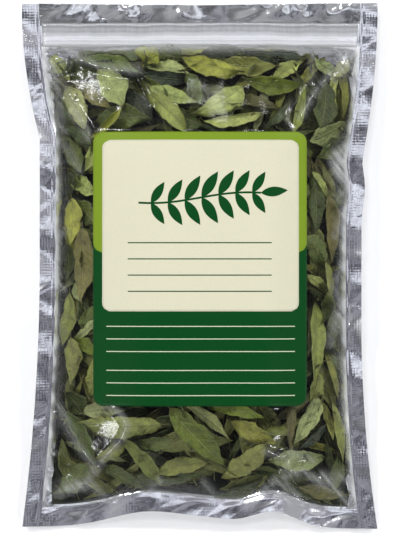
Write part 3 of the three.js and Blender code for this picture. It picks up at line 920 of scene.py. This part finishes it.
# How far out they reach, as shares of the half width
FILM_SHARE = SEAL_SHARE + 0.004
BOTTOM_SHARE = SEAL_SHARE + 0.002
STRIP_SHARE = 0.889
CORE_SHARE = 0.85

# Heights, thicknesses and the seals' knurling, in millimetres
CORE_TOP = 113.0
CORE_THICK = 0.5
BACK_THICK = 0.2
SEAL_THICK = 0.3
KNURL_PITCH = 1.55
KNURL_HEIGHT = 0.045


def edge_steps(low, high, count):
    """Even steps with a narrow one at each end, which keeps the shading crisp along an edge."""
    steps = np.linspace(low, high, count)
    steps[1] = lerp(steps[0], steps[1], 0.12)
    steps[-2] = lerp(steps[-1], steps[-2], 0.12)
    return steps


def film_foot(x):
    """Where the films end: a little way under the bottom seal."""
    return bottom_inner(x) - 0.8


def film_grid(columns, rows, low, high, limit):
    across = edge_steps(-limit, limit, columns)
    share = edge_steps(0, 1, rows)
    s, t = np.meshgrid(across, share)
    y = lerp(low(s * HALF_WIDTH), high(s * HALF_WIDTH), t)
    return s, place(s, y), y


def make_front_film():
    s, x, y = film_grid(236, 370, film_foot, top_edge, FILM_SHARE)
    z = front_film_height(s, x, y) + lip_relief(x, y)
    z += 0.12 * waves(x, (31, 17, 9.7), (0.4, 1.9, 3.3)) * smooth((y - ZIP_LOW) / 4)
    return sheet_object("front_skin", x, y, z, tone=film_milk_and_reflection(s, x, y))


def film_milk_and_reflection(across, x, y):
    """How milky the stretched film is beside the seals, along its creases, by the bottom seal and a
    little below the zip:
    partly the film's own milkiness, partly painted reflections and highlights.
    """
    side, bottom, top = seam_distances(across, x, y)
    uneven = 0.8 + 0.25 * waves(y + 40 * np.sign(across), (47, 23, 11), (0.3, 1.1, 4.0))
    uneven = uneven * (1 + 0.3 * waves(y + 0.5 * x, (17, 10.3), (0.6, 2.4)))
    milk_and_reflection = 0.6 * hump(np.maximum(side, 0), 0, 2.0) * uneven * smooth((bottom + 0.8) / 7)
    streaks = 0.75 + 0.3 * waves(x + 0.8 * y, (3.1, 4.7, 7.9), (0.2, 2.6, 1.3))
    folds = 0.18 * look_up(fold_haze_and_highlight, x, y) + milky_reflection_spots(x, y)
    milk_and_reflection += folds * streaks * (1 - look_up(cover, x, y))
    milk_and_reflection += 0.16 * hump(np.maximum(bottom, 0), 0, 1.6)
    milk_and_reflection += 0.22 * hump(np.maximum(top, 0), 0, 3.0)
    return np.clip(np.where(top < 0, 0.04, milk_and_reflection), 0, 0.6)


def make_back_film():
    s, x, y = film_grid(110, 180, film_foot, top_edge, FILM_SHARE)
    side, bottom, top = seam_distances(s, x, y)
    inside = smooth(np.minimum(np.minimum(side, bottom), top) / 6)
    creases = 0.5 * pucker(s, x, y) + 0.3 * waves(x + 0.4 * y, (23, 13, 7.7), (0, 1, 2))
    creases += 0.2 * waves(y - 0.7 * x, (31, 17, 9.1), (2, 0.5, 1))
    z = back_height(s, y) - (0.7 + creases) * inside
    z += 0.3 * seam_ripple(s, y) * np.exp(-np.maximum(side, 0) / 5) * (1 - inside)
    z += lip_relief(x, y)
    return sheet_object("foil_back", x, y, np.maximum(z, BACK_LEAST), BACK_THICK)


def knurl(x, y):
    """A fine waffle pattern pressed into the heat-sealed edges."""
    turn = 2 * math.pi / KNURL_PITCH
    return KNURL_HEIGHT * (np.sin(turn * y) + np.sin(turn * x)) / 2


def make_side_seal(name, sign):
    share = edge_steps(0, 1, 27)
    height = edge_steps(0, 1, 700)
    q, t = np.meshgrid(share, height)
    s = sign * lerp(SEAL_SHARE, 1.0, q)
    if sign < 0:
        s, q = s[:, ::-1], q[:, ::-1]
    y = lerp(bottom_edge(s * HALF_WIDTH), top_edge(s * HALF_WIDTH), t)
    x = place(s, y)
    ripple = seam_ripple(s, y + 0.35 * sign * (np.abs(x) - 90)) * (0.35 + 0.65 * q)
    z = seam_height(s, y) + HALF_FILM + ripple
    pressed = smooth((q - 0.1) / 0.15) * smooth((1 - q) / 0.06)
    pressed = pressed * (0.3 + 0.6 * smooth(0.5 + waves(y, (61, 37), (0.2, 1.2))))
    z += knurl(x, y) * pressed + 0.3 * facets(0.6 * x, 0.6 * y) * smooth((q - 0.12) / 0.2)
    bead = 0.3 * hump(q, 0.07, 0.09) * (0.8 + 0.2 * waves(y, (31, 19), (0.4, 2.0)))
    return sheet_object(name, x, y, z + bead, SEAL_THICK)


def make_bottom_seal():
    s, x, y = film_grid(420, 26, bottom_edge, bottom_inner, BOTTOM_SHARE)
    t = np.linspace(1, 0, 26)[:, None]
    z = seam_height(s, y) + HALF_FILM
    z += smooth(t / 0.6) * np.interp(x - 0.5 * (y + HALF_LENGTH), *BOTTOM_RIPPLE)
    z += 0.6 * facets(0.4 * x, 0.6 * y) * smooth(t / 0.35)
    z += 0.6 * knurl(x, y) * smooth(0.2 + waves(x, (43, 23), (1.2, 0.3)))
    return sheet_object("bottom_seal", x, y, z, SEAL_THICK)


def make_zip_strip(name, upper):
    """One half of the zip: a band with ridges along it, closed against the other half."""
    across = np.linspace(-STRIP_SHARE, STRIP_SHARE, 170 if upper else 110)
    share = np.linspace(0, 1, 56 if upper else 20)
    s, t = np.meshgrid(across, share)
    y = lerp(ZIP_LOW - 0.3, ZIP_HIGH, t)
    x = place(s, y)
    centre = seam_height(s, y) + HALF_FILM
    ridges = 0.22 * hump(t, 0.10, 0.025) + 0.3 * hump(t, 0.276, 0.03) + 0.3 * hump(t, 0.365, 0.03)
    ridges += 0.25 * smooth((0.6 - t) / 0.06) + 0.2 * hump(t, 0.93, 0.02)
    wave = 0.06 * waves(x + 2 * y, (27, 15, 8.3), (0.2, 2.9, 1.1))
    ends = smooth((STRIP_SHARE - np.abs(s)) / 0.02) * smooth(t / 0.05) * smooth((1 - t) / 0.05)
    if upper:
        return sheet_object(name, x, y, centre + 0.25 + (0.35 + ridges + wave) * ends, 0.25)
    return sheet_object(name, x, y, centre - 0.1 - (0.45 - wave) * ends, 0.3)


def core_foot(x):
    return bottom_inner(x) + 1.3


def make_leaf_core():
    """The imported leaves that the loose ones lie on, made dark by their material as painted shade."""
    settled = np.maximum(core_field - settle_field, BACK_FIELD + 0.4)
    s, x, y = film_grid(60, 90, core_foot, lambda x: np.full_like(x, CORE_TOP), CORE_SHARE)
    z = np.minimum(look_up(settled, x, y), front_height(s, y) - 1.5)
    z = np.maximum(z, back_height(s, y) + 0.5)
    return sheet_object("leaf_core", x, y, z, CORE_THICK)


def label_height(x, y):
    across = across_at(x, y)
    return front_height(across, y) + smooth_look_up(label_offset, x, y)


PATCH_STEP = 1.6


def rounded_patch(name, x0, x1, y0, y1, corner, lift, thick):
    """A thin patch of the label with round corners, laid on the label's own curve."""
    columns = int((x1 - x0) / PATCH_STEP) + 1
    rows = int((y1 - y0) / PATCH_STEP) + 1
    a, b = np.meshgrid(np.linspace(-1, 1, columns), np.linspace(-1, 1, rows))
    half_x, half_y = (x1 - x0) / 2, (y1 - y0) / 2
    y = b * half_y
    into = np.clip(np.abs(y) - (half_y - corner), 0, corner)
    reach = half_x - corner + np.sqrt(np.maximum(corner**2 - into**2, (0.12 * corner) ** 2))
    x = a * reach
    x = x + (x0 + x1) / 2
    y = y + (y0 + y1) / 2
    return sheet_object(name, x, y, label_height(x, y) + lift, thick)


def flat_leaf_points(x, y, heading, length, width):
    """Outline grid of a small printed leaf."""
    v, u = np.meshgrid(np.linspace(0, 1, 12), np.array([-1, 0, 1.0]), indexing="ij")
    reach = width / 2 * np.maximum(np.sin(math.pi * v**0.9), 0.02) ** 0.9 * u
    c, s = math.cos(heading), math.sin(heading)
    return x + c * length * v - s * reach, y + s * length * v + c * reach


def join_sheets(name, grids, lift):
    """Joins several small printed shapes into one piece on the label."""
    points, faces, start = [], [], 0
    for x, y in grids:
        rows, columns = x.shape
        points.append(as_points(x, y, label_height(x, y) + lift))
        quads = grid_faces(rows, columns, start)
        corner = [points[-1][k - start] for k in quads[0]]
        turn = np.cross(corner[1] - corner[0], corner[3] - corner[0])[2]
        faces.append(quads if turn > 0 else quads[:, ::-1])
        start += rows * columns
    return mesh_object(name, np.concatenate(points), np.concatenate(faces))


def rule_grid(x0, x1, y, thick):
    across = np.linspace(x0, x1, int((x1 - x0) / 3))
    return np.meshgrid(across, np.array([y - thick / 2, y + thick / 2]))


def stem_grid(points, width):
    line = np.array(points, float)
    step = np.gradient(line, axis=0)
    step /= np.hypot(step[:, 0], step[:, 1])[:, None]
    side = np.stack([-step[:, 1], step[:, 0]], axis=-1) * width / 2
    both = np.stack([line - side, line + side], axis=1)
    return both[..., 0], both[..., 1]


def sprig_shapes():
    """The printed sprig: a wavy stem with leaves in pairs along it and one at its end."""
    stem = [(x, 38 + 3.0 * math.sin(x / 17)) for x in np.linspace(-34, 34, 30)]
    shapes = [stem_grid(stem, 1.1)]
    for x, y in stem[3:29:4]:
        size = 17 - 0.12 * abs(x)
        for side in (1, -1):
            shapes.append(flat_leaf_points(x, y, side * math.radians(58), size, size * 0.36))
    shapes.append(flat_leaf_points(*stem[-1], 0.1, 15, 5.4))
    return shapes


# Materials


def feed(tree, node, values):
    """Gives inputs of a node, by name or number, a value or a link from another node's output."""
    for key, value in values.items():
        socket = node.inputs[key]
        if isinstance(value, bpy.types.NodeSocket):
            tree.links.new(value, socket)
        elif isinstance(value, tuple) and socket.type == "RGBA":
            socket.default_value = (*value, 1)
        else:
            socket.default_value = value


def add_node(tree, kind, values=None):
    node = tree.nodes.new("ShaderNode" + kind)
    feed(tree, node, values or {})
    return node


def new_material(name):
    material = bpy.data.materials.new(name)
    material.use_nodes = True
    tree = material.node_tree
    return material, tree, tree.nodes["Principled BSDF"]


def math_node(tree, operation, *values):
    node = tree.nodes.new("ShaderNodeMath")
    node.operation = operation
    feed(tree, node, dict(enumerate(values)))
    return node.outputs[0]


def times(tree, first, second):
    return math_node(tree, "MULTIPLY", first, second)


def times_add(tree, first, second, added):
    return math_node(tree, "MULTIPLY_ADD", first, second, added)


def range_node(tree, value, low, high, out_low=0.0, out_high=1.0, kind="SMOOTHSTEP"):
    """Turns the range from low to high into the one from out_low to out_high."""
    node = tree.nodes.new("ShaderNodeMapRange")
    node.interpolation_type = kind
    limits = {"From Min": low, "From Max": high, "To Min": out_low, "To Max": out_high}
    feed(tree, node, {"Value": value, **limits})
    return node.outputs["Result"]


def mix_colour(tree, share, first, second):
    node = tree.nodes.new("ShaderNodeMix")
    node.data_type = "RGBA"
    feed(tree, node, {"Factor": share, 6: first, 7: second})
    return node.outputs[2]


def noise_node(tree, scale, detail, roughness, distortion=0.0, vector=None):
    if vector is None:
        vector = add_node(tree, "TexCoord").outputs["Object"]
    values = {"Scale": scale, "Detail": detail, "Roughness": roughness, "Distortion": distortion}
    return add_node(tree, "TexNoise", {**values, "Vector": vector}).outputs["Fac"]


def ramp_node(tree, share, stops):
    """Colour along a share from 0 to 1. Each stop is a place on it and a colour."""
    node = add_node(tree, "ValToRGB", {"Fac": share})
    elements = node.color_ramp.elements
    for element, (at, colour) in zip(elements, (stops[0], stops[-1])):
        element.position = at
        element.color = (*colour, 1)
    for at, colour in stops[1:-1]:
        elements.new(at).color = (*colour, 1)
    return node.outputs["Color"]


def painted_tone(tree):
    """The tones that are painted on the points of a mesh."""
    node = add_node(tree, "VertexColor")
    node.layer_name = "tone"
    return node.outputs["Color"]


def mix_shaders(tree, share, first, second):
    values = {"Fac": share, 1: first.outputs[0], 2: second.outputs[0]}
    return add_node(tree, "MixShader", values)


def add_bump(tree, shader, height, strength, distance):
    bump = add_node(tree, "Bump", {"Height": height, "Strength": strength, "Distance": distance})
    feed(tree, shader, {"Normal": bump.outputs["Normal"]})


# Colours that mix into a leaf's own tone
SPOT_COLOUR = (0.12, 0.095, 0.035)
EDGE_COLOUR = (0.16, 0.13, 0.05)
VEIN_COLOUR = (0.42, 0.44, 0.22)
MIDRIB_COLOUR = (0.36, 0.37, 0.17)


def leaf_material(name, shine):
    """Dried leaf: a pale midrib, side veins, mottling and browned edges over the leaf's own tone."""
    material, tree, shader = new_material(name)
    uv = add_node(tree, "UVMap")
    uv.uv_map = "leaf"
    split = add_node(tree, "SeparateXYZ", {"Vector": uv.outputs["UV"]})
    u, v = split.outputs["X"], split.outputs["Y"]
    away = math_node(tree, "ABSOLUTE", times_add(tree, u, 2.0, -1.0))
    midrib = range_node(tree, away, 0.1, 0.01)
    slant = times_add(tree, away, -1.9, times(tree, v, 10.0))
    stripe = math_node(tree, "SINE", times(tree, slant, 2 * math.pi))
    veins = range_node(tree, stripe, 0.55, 1.0)
    coarse = noise_node(tree, 190, 4, 0.6)
    fine = noise_node(tree, 900, 3, 0.6)
    shade = times_add(tree, fine, 0.6, times_add(tree, coarse, 1.7, -0.22))
    brighten = tree.nodes.new("ShaderNodeVectorMath")
    brighten.operation = "SCALE"
    feed(tree, brighten, {0: painted_tone(tree), "Scale": shade})
    spots = range_node(tree, noise_node(tree, 420, 2, 0.5), 0.6, 0.75, 0, 0.4)
    browned = mix_colour(tree, spots, brighten.outputs[0], SPOT_COLOUR)
    rim = range_node(tree, away, 0.8, 1.0)
    edge = times(tree, rim, range_node(tree, fine, 0.4, 0.7, 0, 0.6))
    edged = mix_colour(tree, edge, browned, EDGE_COLOUR)
    veined = mix_colour(tree, times(tree, veins, 0.09), edged, VEIN_COLOUR)
    ribbed = mix_colour(tree, times(tree, midrib, 0.28), veined, MIDRIB_COLOUR)
    rough = range_node(tree, coarse, 0.3, 0.7, 0.42, 0.62)
    feed(tree, shader, {"Base Color": ribbed, "Roughness": rough, "Specular IOR Level": shine})
    relief = times_add(tree, veins, 0.25, times(tree, midrib, 0.8))
    relief = times_add(tree, fine, 0.5, relief)
    relief = times_add(tree, noise_node(tree, 260, 3, 0.55, 0.5), 2.4, relief)
    add_bump(tree, shader, relief, 0.9, 0.0008)
    return material


def core_material():
    """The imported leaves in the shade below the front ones."""
    material, tree, shader = new_material("leaf_core")
    coarse = noise_node(tree, 130, 3, 0.6, 0.8)
    share = range_node(tree, coarse, 0.4, 0.65)
    # Near-black colours: painted shade of the deep gaps between the leaves
    colour = mix_colour(tree, share, (0.002, 0.003, 0.0015), (0.012, 0.016, 0.007))
    feed(tree, shader, {"Base Color": colour, "Roughness": 0.9, "Specular IOR Level": 0.1})
    add_bump(tree, shader, coarse, 0.8, 0.002)
    return material


def film_material():
    """Clear film: see-through from the front, glossy, and milkier where it turns away and where its
    points are painted milky, partly as its own milkiness and partly as painted reflections.
    """
    material, tree, _ = new_material("clear_film")
    tree.nodes.clear()
    clear = add_node(tree, "BsdfTransparent", {"Color": (0.95, 0.955, 0.945)})
    gloss = add_node(tree, "BsdfGlossy", {"Color": (0.97, 0.98, 1.0), "Roughness": 0.12})
    haze = add_node(tree, "BsdfDiffuse", {"Color": (0.78, 0.80, 0.79)})
    add_bump(tree, gloss, noise_node(tree, 150, 3, 0.5, 1.2), 0.18, 0.0007)
    turned = add_node(tree, "LayerWeight", {"Blend": 0.5}).outputs["Facing"]
    # A white diffuse veil, more where the film turns away and where its points are painted: partly milky
    # film, partly painted reflection
    milk_and_reflection = times_add(tree, math_node(tree, "POWER", turned, 2.2), 0.05, painted_tone(tree))
    sheen = times_add(tree, math_node(tree, "POWER", turned, 4.0), 0.8, 0.014)
    milky = mix_shaders(tree, milk_and_reflection, clear, haze)
    shiny = mix_shaders(tree, math_node(tree, "MINIMUM", sheen, 0.25), milky, gloss)
    add_node(tree, "OutputMaterial", {"Surface": shiny.outputs[0]})
    return material


def foil_material(name, coat, roughness):
    """Bright metallised film with soft wrinkles."""
    material, tree, shader = new_material(name)
    soft = noise_node(tree, 60, 3, 0.5, 0.6)
    fine = noise_node(tree, 420, 2, 0.6)
    values = {
        "Base Color": mix_colour(tree, soft, (0.70, 0.70, 0.74), (0.90, 0.90, 0.93)),
        "Metallic": 1.0,
        "Roughness": range_node(tree, fine, 0.3, 0.7, roughness, 1.8 * roughness),
        "Coat Weight": coat,
        "Coat Roughness": 0.08,
    }
    feed(tree, shader, values)
    add_bump(tree, shader, times_add(tree, fine, 0.25 + 0.3 * coat, soft), 0.16, 0.0012)
    return material


# Greys of the zip, white as painted highlights along its ridges and darker between them: at its lower and
# upper edge, and between them by the share of its width
ZIP_EDGE_TONES = (0.52, 0.40)
ZIP_GREYS_AND_HIGHLIGHTS = (
    (0.06, 0.56),
    (0.11, 0.72),
    (0.17, 0.66),
    (0.24, 0.70),
    (0.29, 0.80),
    (0.34, 0.73),
    (0.39, 0.78),
    (0.46, 0.60),
    (0.55, 0.52),
    (0.64, 0.40),
    (0.76, 0.46),
    (0.84, 0.32),
    (0.90, 0.36),
    (0.94, 0.70),
)


def zip_material():
    """Milky plastic of the zip: painted white highlights along its ridges, with fine marks across it."""
    material, tree, shader = new_material("zip_plastic")
    spot = add_node(tree, "TexCoord").outputs["Object"]
    up = add_node(tree, "SeparateXYZ", {"Vector": spot}).outputs["Y"]
    share = range_node(tree, up, ZIP_LOW * MM, ZIP_HIGH * MM, kind="LINEAR")
    cloud = range_node(tree, noise_node(tree, 45, 3, 0.5), 0.3, 0.7, -0.045, 0.045)
    share = math_node(tree, "ADD", share, cloud)
    low, high = [(grey, grey, grey) for grey in ZIP_EDGE_TONES]
    between = [(at, (0.97 * grey, 0.98 * grey, 1.05 * grey)) for at, grey in ZIP_GREYS_AND_HIGHLIGHTS]
    # The ramp paints highlights along the zip's ridges over its grey
    greys_and_highlights = ramp_node(tree, share, [(0, low), *between, (1, high)])
    stretch = add_node(tree, "Mapping", {"Vector": spot, "Scale": (1, 0.08, 0.08)})
    marks = noise_node(tree, 800, 2, 0.6, vector=stretch.outputs["Vector"])
    upper = range_node(tree, share, 0.55, 0.65, 0.03, 0.2)
    depth = times(tree, range_node(tree, marks, 0.35, 0.65), upper)
    colour = mix_colour(tree, depth, greys_and_highlights, (0.16, 0.17, 0.2))
    feed(tree, shader, {"Base Color": colour, "Roughness": 0.3, "Alpha": 0.85})
    add_bump(tree, shader, marks, 0.15, 0.0003)
    return material


def print_material(name, colour, roughness=0.38):
    """Printed plastic label: even ink with a slight mottle and a soft gloss."""
    material, tree, shader = new_material(name)
    mottle = noise_node(tree, 700, 2, 0.5)
    values = {
        "Base Color": mix_colour(tree, mottle, tuple(0.93 * c for c in colour), colour),
        "Roughness": range_node(tree, mottle, 0.3, 0.7, roughness - 0.04, roughness + 0.06),
        "Specular IOR Level": 0.12,
    }
    feed(tree, shader, values)
    add_bump(tree, shader, noise_node(tree, 160, 2, 0.5), 0.08, 0.0004)
    return material


def floor_material():
    material, tree, shader = new_material("pale_floor")
    values = {"Base Color": (1, 1, 1), "Roughness": 0.9, "Specular IOR Level": 0.1}
    feed(tree, shader, values)
    return material


def finish_piece(obj, material, slot, *nodes):
    obj.data.materials.append(material)
    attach(obj, "root")
    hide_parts(*nodes)


dried_leaf = leaf_material("dried_leaf", 0.42)
shaded_leaf = leaf_material("shaded_leaf", 0.06)
clear_film = film_material()
foil = foil_material("foil", 0.0, 0.09)
sealed_foil = foil_material("sealed_foil", 0.3, 0.12)
zip_plastic = zip_material()
light_green = print_material("light_green_ink", (0.176, 0.267, 0.018))
dark_green = print_material("dark_green_ink", (0.001, 0.052, 0.008))
cream = print_material("cream_ink", (0.61, 0.592, 0.444), 0.45)
soft_cream = print_material("soft_cream_ink", (0.56, 0.60, 0.42), 0.45)

# The foil, the film and the zip
for piece, material, slot, node in (
    (make_back_film(), foil, "foil", "back_film"),
    (make_front_film(), clear_film, "clear_film", "front_film"),
    (make_side_seal("side_seal_left", -1), sealed_foil, "foil", "back_film"),
    (make_side_seal("side_seal_right", 1), sealed_foil, "foil", "back_film"),
    (make_bottom_seal(), sealed_foil, "foil", "back_film"),
    (make_zip_strip("zip_band_lower", False), zip_plastic, "zip", "zip_groove_strip"),
    (make_zip_strip("zip_band_upper", True), zip_plastic, "zip", "zip_rib_strip"),
):
    finish_piece(piece, material, slot, node)

# The leaves
finish_piece(make_leaf_core(), core_material(), "leaf_heap", "leaf_heap")
for name, leaves, material in (
    ("leaves_deep", deep_leaves, shaded_leaf),
    ("leaves_middle", middle_leaves, shaded_leaf),
    ("leaves_upper", upper_leaves, dried_leaf),
    ("leaves_front", front_leaves, dried_leaf),
):
    piece = leaves_object(name, leaves, settle_field, film_field)
    finish_piece(piece, material, "leaf_heap", "leaf_heap")
for number, leaf in enumerate(solid_leaves, 1):
    name = f"leaf_{number:02d}"
    slot = [part["material_slot"] for part in frame["record"]["subparts"] if part["node"] == name][0]
    piece = leaves_object(name + "_blade", [leaf], settle_field, film_field)
    finish_piece(piece, dried_leaf, slot, name)

# The label: two inks meet above its middle, with a cream panel over them
LABEL_LEFT, LABEL_RIGHT = LABEL_X - LABEL_WIDTH / 2, LABEL_X + LABEL_WIDTH / 2
LABEL_TOP = LABEL_Y + LABEL_HEIGHT / 2
INK_LINE = 7.4
PANEL = (-54.3, 55.2, -25.2, 70.3)
PANEL_CORNER = 4.5
PRINT_THICK = 0.04
WHOLE = (LABEL_LEFT, LABEL_RIGHT, LABEL_BOTTOM, LABEL_TOP)
UPPER_PART = (LABEL_LEFT, LABEL_RIGHT, INK_LINE, LABEL_TOP)
for name, edges, corner, lift, thick, ink in (
    ("label_base", WHOLE, LABEL_CORNER, 0, 0.15, dark_green),
    ("label_upper_ink", UPPER_PART, LABEL_CORNER, 0.05, PRINT_THICK, light_green),
    ("label_panel", PANEL, PANEL_CORNER, 0.1, PRINT_THICK, cream),
):
    finish_piece(rounded_patch(name, *edges, corner, lift, thick), ink, "label", "label")

# A printed sprig and blank rules, whose heights are in millimetres
PANEL_RULES = (13.0, 4.0, -5.0, -14.0)
LOWER_RULES = (-33.5, -40.5, -47.5, -58.0, -65.0, -72.0)
for name, shapes, lift, ink in (
    ("label_sprig", sprig_shapes(), 0.16, dark_green),
    ("label_panel_rules", [rule_grid(-40, 40, y, 0.6) for y in PANEL_RULES], 0.16, dark_green),
    ("label_lower_rules", [rule_grid(-52, 53, y, 0.5) for y in LOWER_RULES], 0.1, soft_cream),
):
    finish_piece(join_sheets(name, shapes, lift), ink, "label", "label")

# Floor, lights and camera
bpy.ops.mesh.primitive_plane_add(size=12, location=(0, 0, 0))
floor = bpy.context.object
floor.name = "floor"
floor.data.materials.append(floor_material())


def add_light(name, place_m, size, watts, colour=(1, 1, 1), in_gloss=True):
    """Adds a soft lamp aimed at the pouch. Fill lamps are kept out of its reflections."""
    data = bpy.data.lights.new(name, "AREA")
    data.shape = "ELLIPSE"
    data.size, data.size_y = size
    data.energy = watts
    data.color = colour
    light = bpy.data.objects.new(name, data)
    light.location = place_m
    light.rotation_euler = (-light.location).to_track_quat("-Z", "Y").to_euler()
    light.visible_camera = False
    light.visible_glossy = in_gloss
    bpy.context.scene.collection.objects.link(light)


# Soft boxes, each where film with the given slopes would mirror it into the camera:
# slopes across and along the pouch, width and height in metres, and watts
SOFT_BOXES = (
    ("far_left", -0.30, 0.31, 0.34, 0.22, 11),
    ("far_right", 0.36, 0.30, 0.28, 0.20, 10),
    ("near_left", -0.38, -0.30, 0.28, 0.20, 7),
    ("near_right", 0.32, -0.39, 0.32, 0.20, 8),
    ("far_end", 0.05, 0.39, 0.30, 0.15, 1.8),
)
BOX_DISTANCE = 1.75


def mirror_place(slope_x, slope_y):
    """The place that is mirrored towards the zenith by a surface with these slopes."""
    size = math.hypot(slope_x, slope_y)
    angle = 2 * math.atan(size)
    flat = BOX_DISTANCE * math.sin(angle) / size
    return (slope_x * flat, slope_y * flat, BOX_DISTANCE * math.cos(angle))


for name, slope_x, slope_y, wide, high, watts in SOFT_BOXES:
    add_light(name, mirror_place(slope_x, slope_y), (wide, high), watts)
WARM_WHITE = (1, 0.98, 0.95)
add_light("key_fill", (-0.28, 0.55, 1.7), (0.4, 0.3), 4.5, WARM_WHITE, in_gloss=False)

# Colours overhead along a line that slants from the near left to the far right
SKY_TONES = (
    (0.0, (0.12, 0.12, 0.13)),
    (0.28, (0.2, 0.2, 0.22)),
    (0.37, (0.56, 0.57, 0.64)),
    (0.44, (0.05, 0.048, 0.06)),
    (0.50, (0.145, 0.143, 0.165)),
    (0.55, (0.9, 0.94, 1.06)),
    (0.61, (1.75, 1.82, 1.95)),
    (0.68, (0.6, 0.6, 0.66)),
    (0.78, (0.25, 0.25, 0.28)),
    (1.0, (0.45, 0.46, 0.5)),
)
HORIZON_COLOUR = (0.60, 0.61, 0.63)


def build_world():
    """Surroundings: dim overhead where the camera is, brighter to the far side and the horizon."""
    world = bpy.data.worlds.new("studio")
    bpy.context.scene.world = world
    world.use_nodes = True
    sky = world.node_tree
    heading = add_node(sky, "TexCoord").outputs["Generated"]
    axes = add_node(sky, "SeparateXYZ", {"Vector": heading}).outputs
    patches = range_node(sky, noise_node(sky, 3.2, 2, 0.5, vector=heading), 0.3, 0.7, -0.3, 0.3, "LINEAR")
    slant = math_node(sky, "ADD", times_add(sky, axes["X"], 0.5, axes["Y"]), patches)
    overhead = ramp_node(sky, range_node(sky, slant, -1, 1, kind="LINEAR"), SKY_TONES)
    tone = mix_colour(sky, range_node(sky, axes["Z"], 0.92, 0.70), overhead, HORIZON_COLOUR)
    feed(sky, sky.nodes["Background"], {"Color": tone, "Strength": 0.7})


# The camera looks straight down, and shows the pouch's rim at the photo's scale
CAMERA_HEIGHT = 3.0
CAMERA_SHIFT = (0.17 * MM, -0.5 * MM)
RIM_HEIGHT = 0.008
SENSOR_SIZE = 36
PHOTO_ROWS = 534


def build_camera():
    data = bpy.data.cameras.new("camera")
    data.sensor_width = SENSOR_SIZE
    data.lens = SENSOR_SIZE * (CAMERA_HEIGHT - RIM_HEIGHT) / (PHOTO_ROWS * PHOTO_MM * MM)
    camera = bpy.data.objects.new("camera", data)
    camera.location = (*CAMERA_SHIFT, CAMERA_HEIGHT)
    bpy.context.scene.collection.objects.link(camera)
    bpy.context.scene.camera = camera


build_world()
build_camera()
bpy.context.scene.view_settings.view_transform = "Standard"
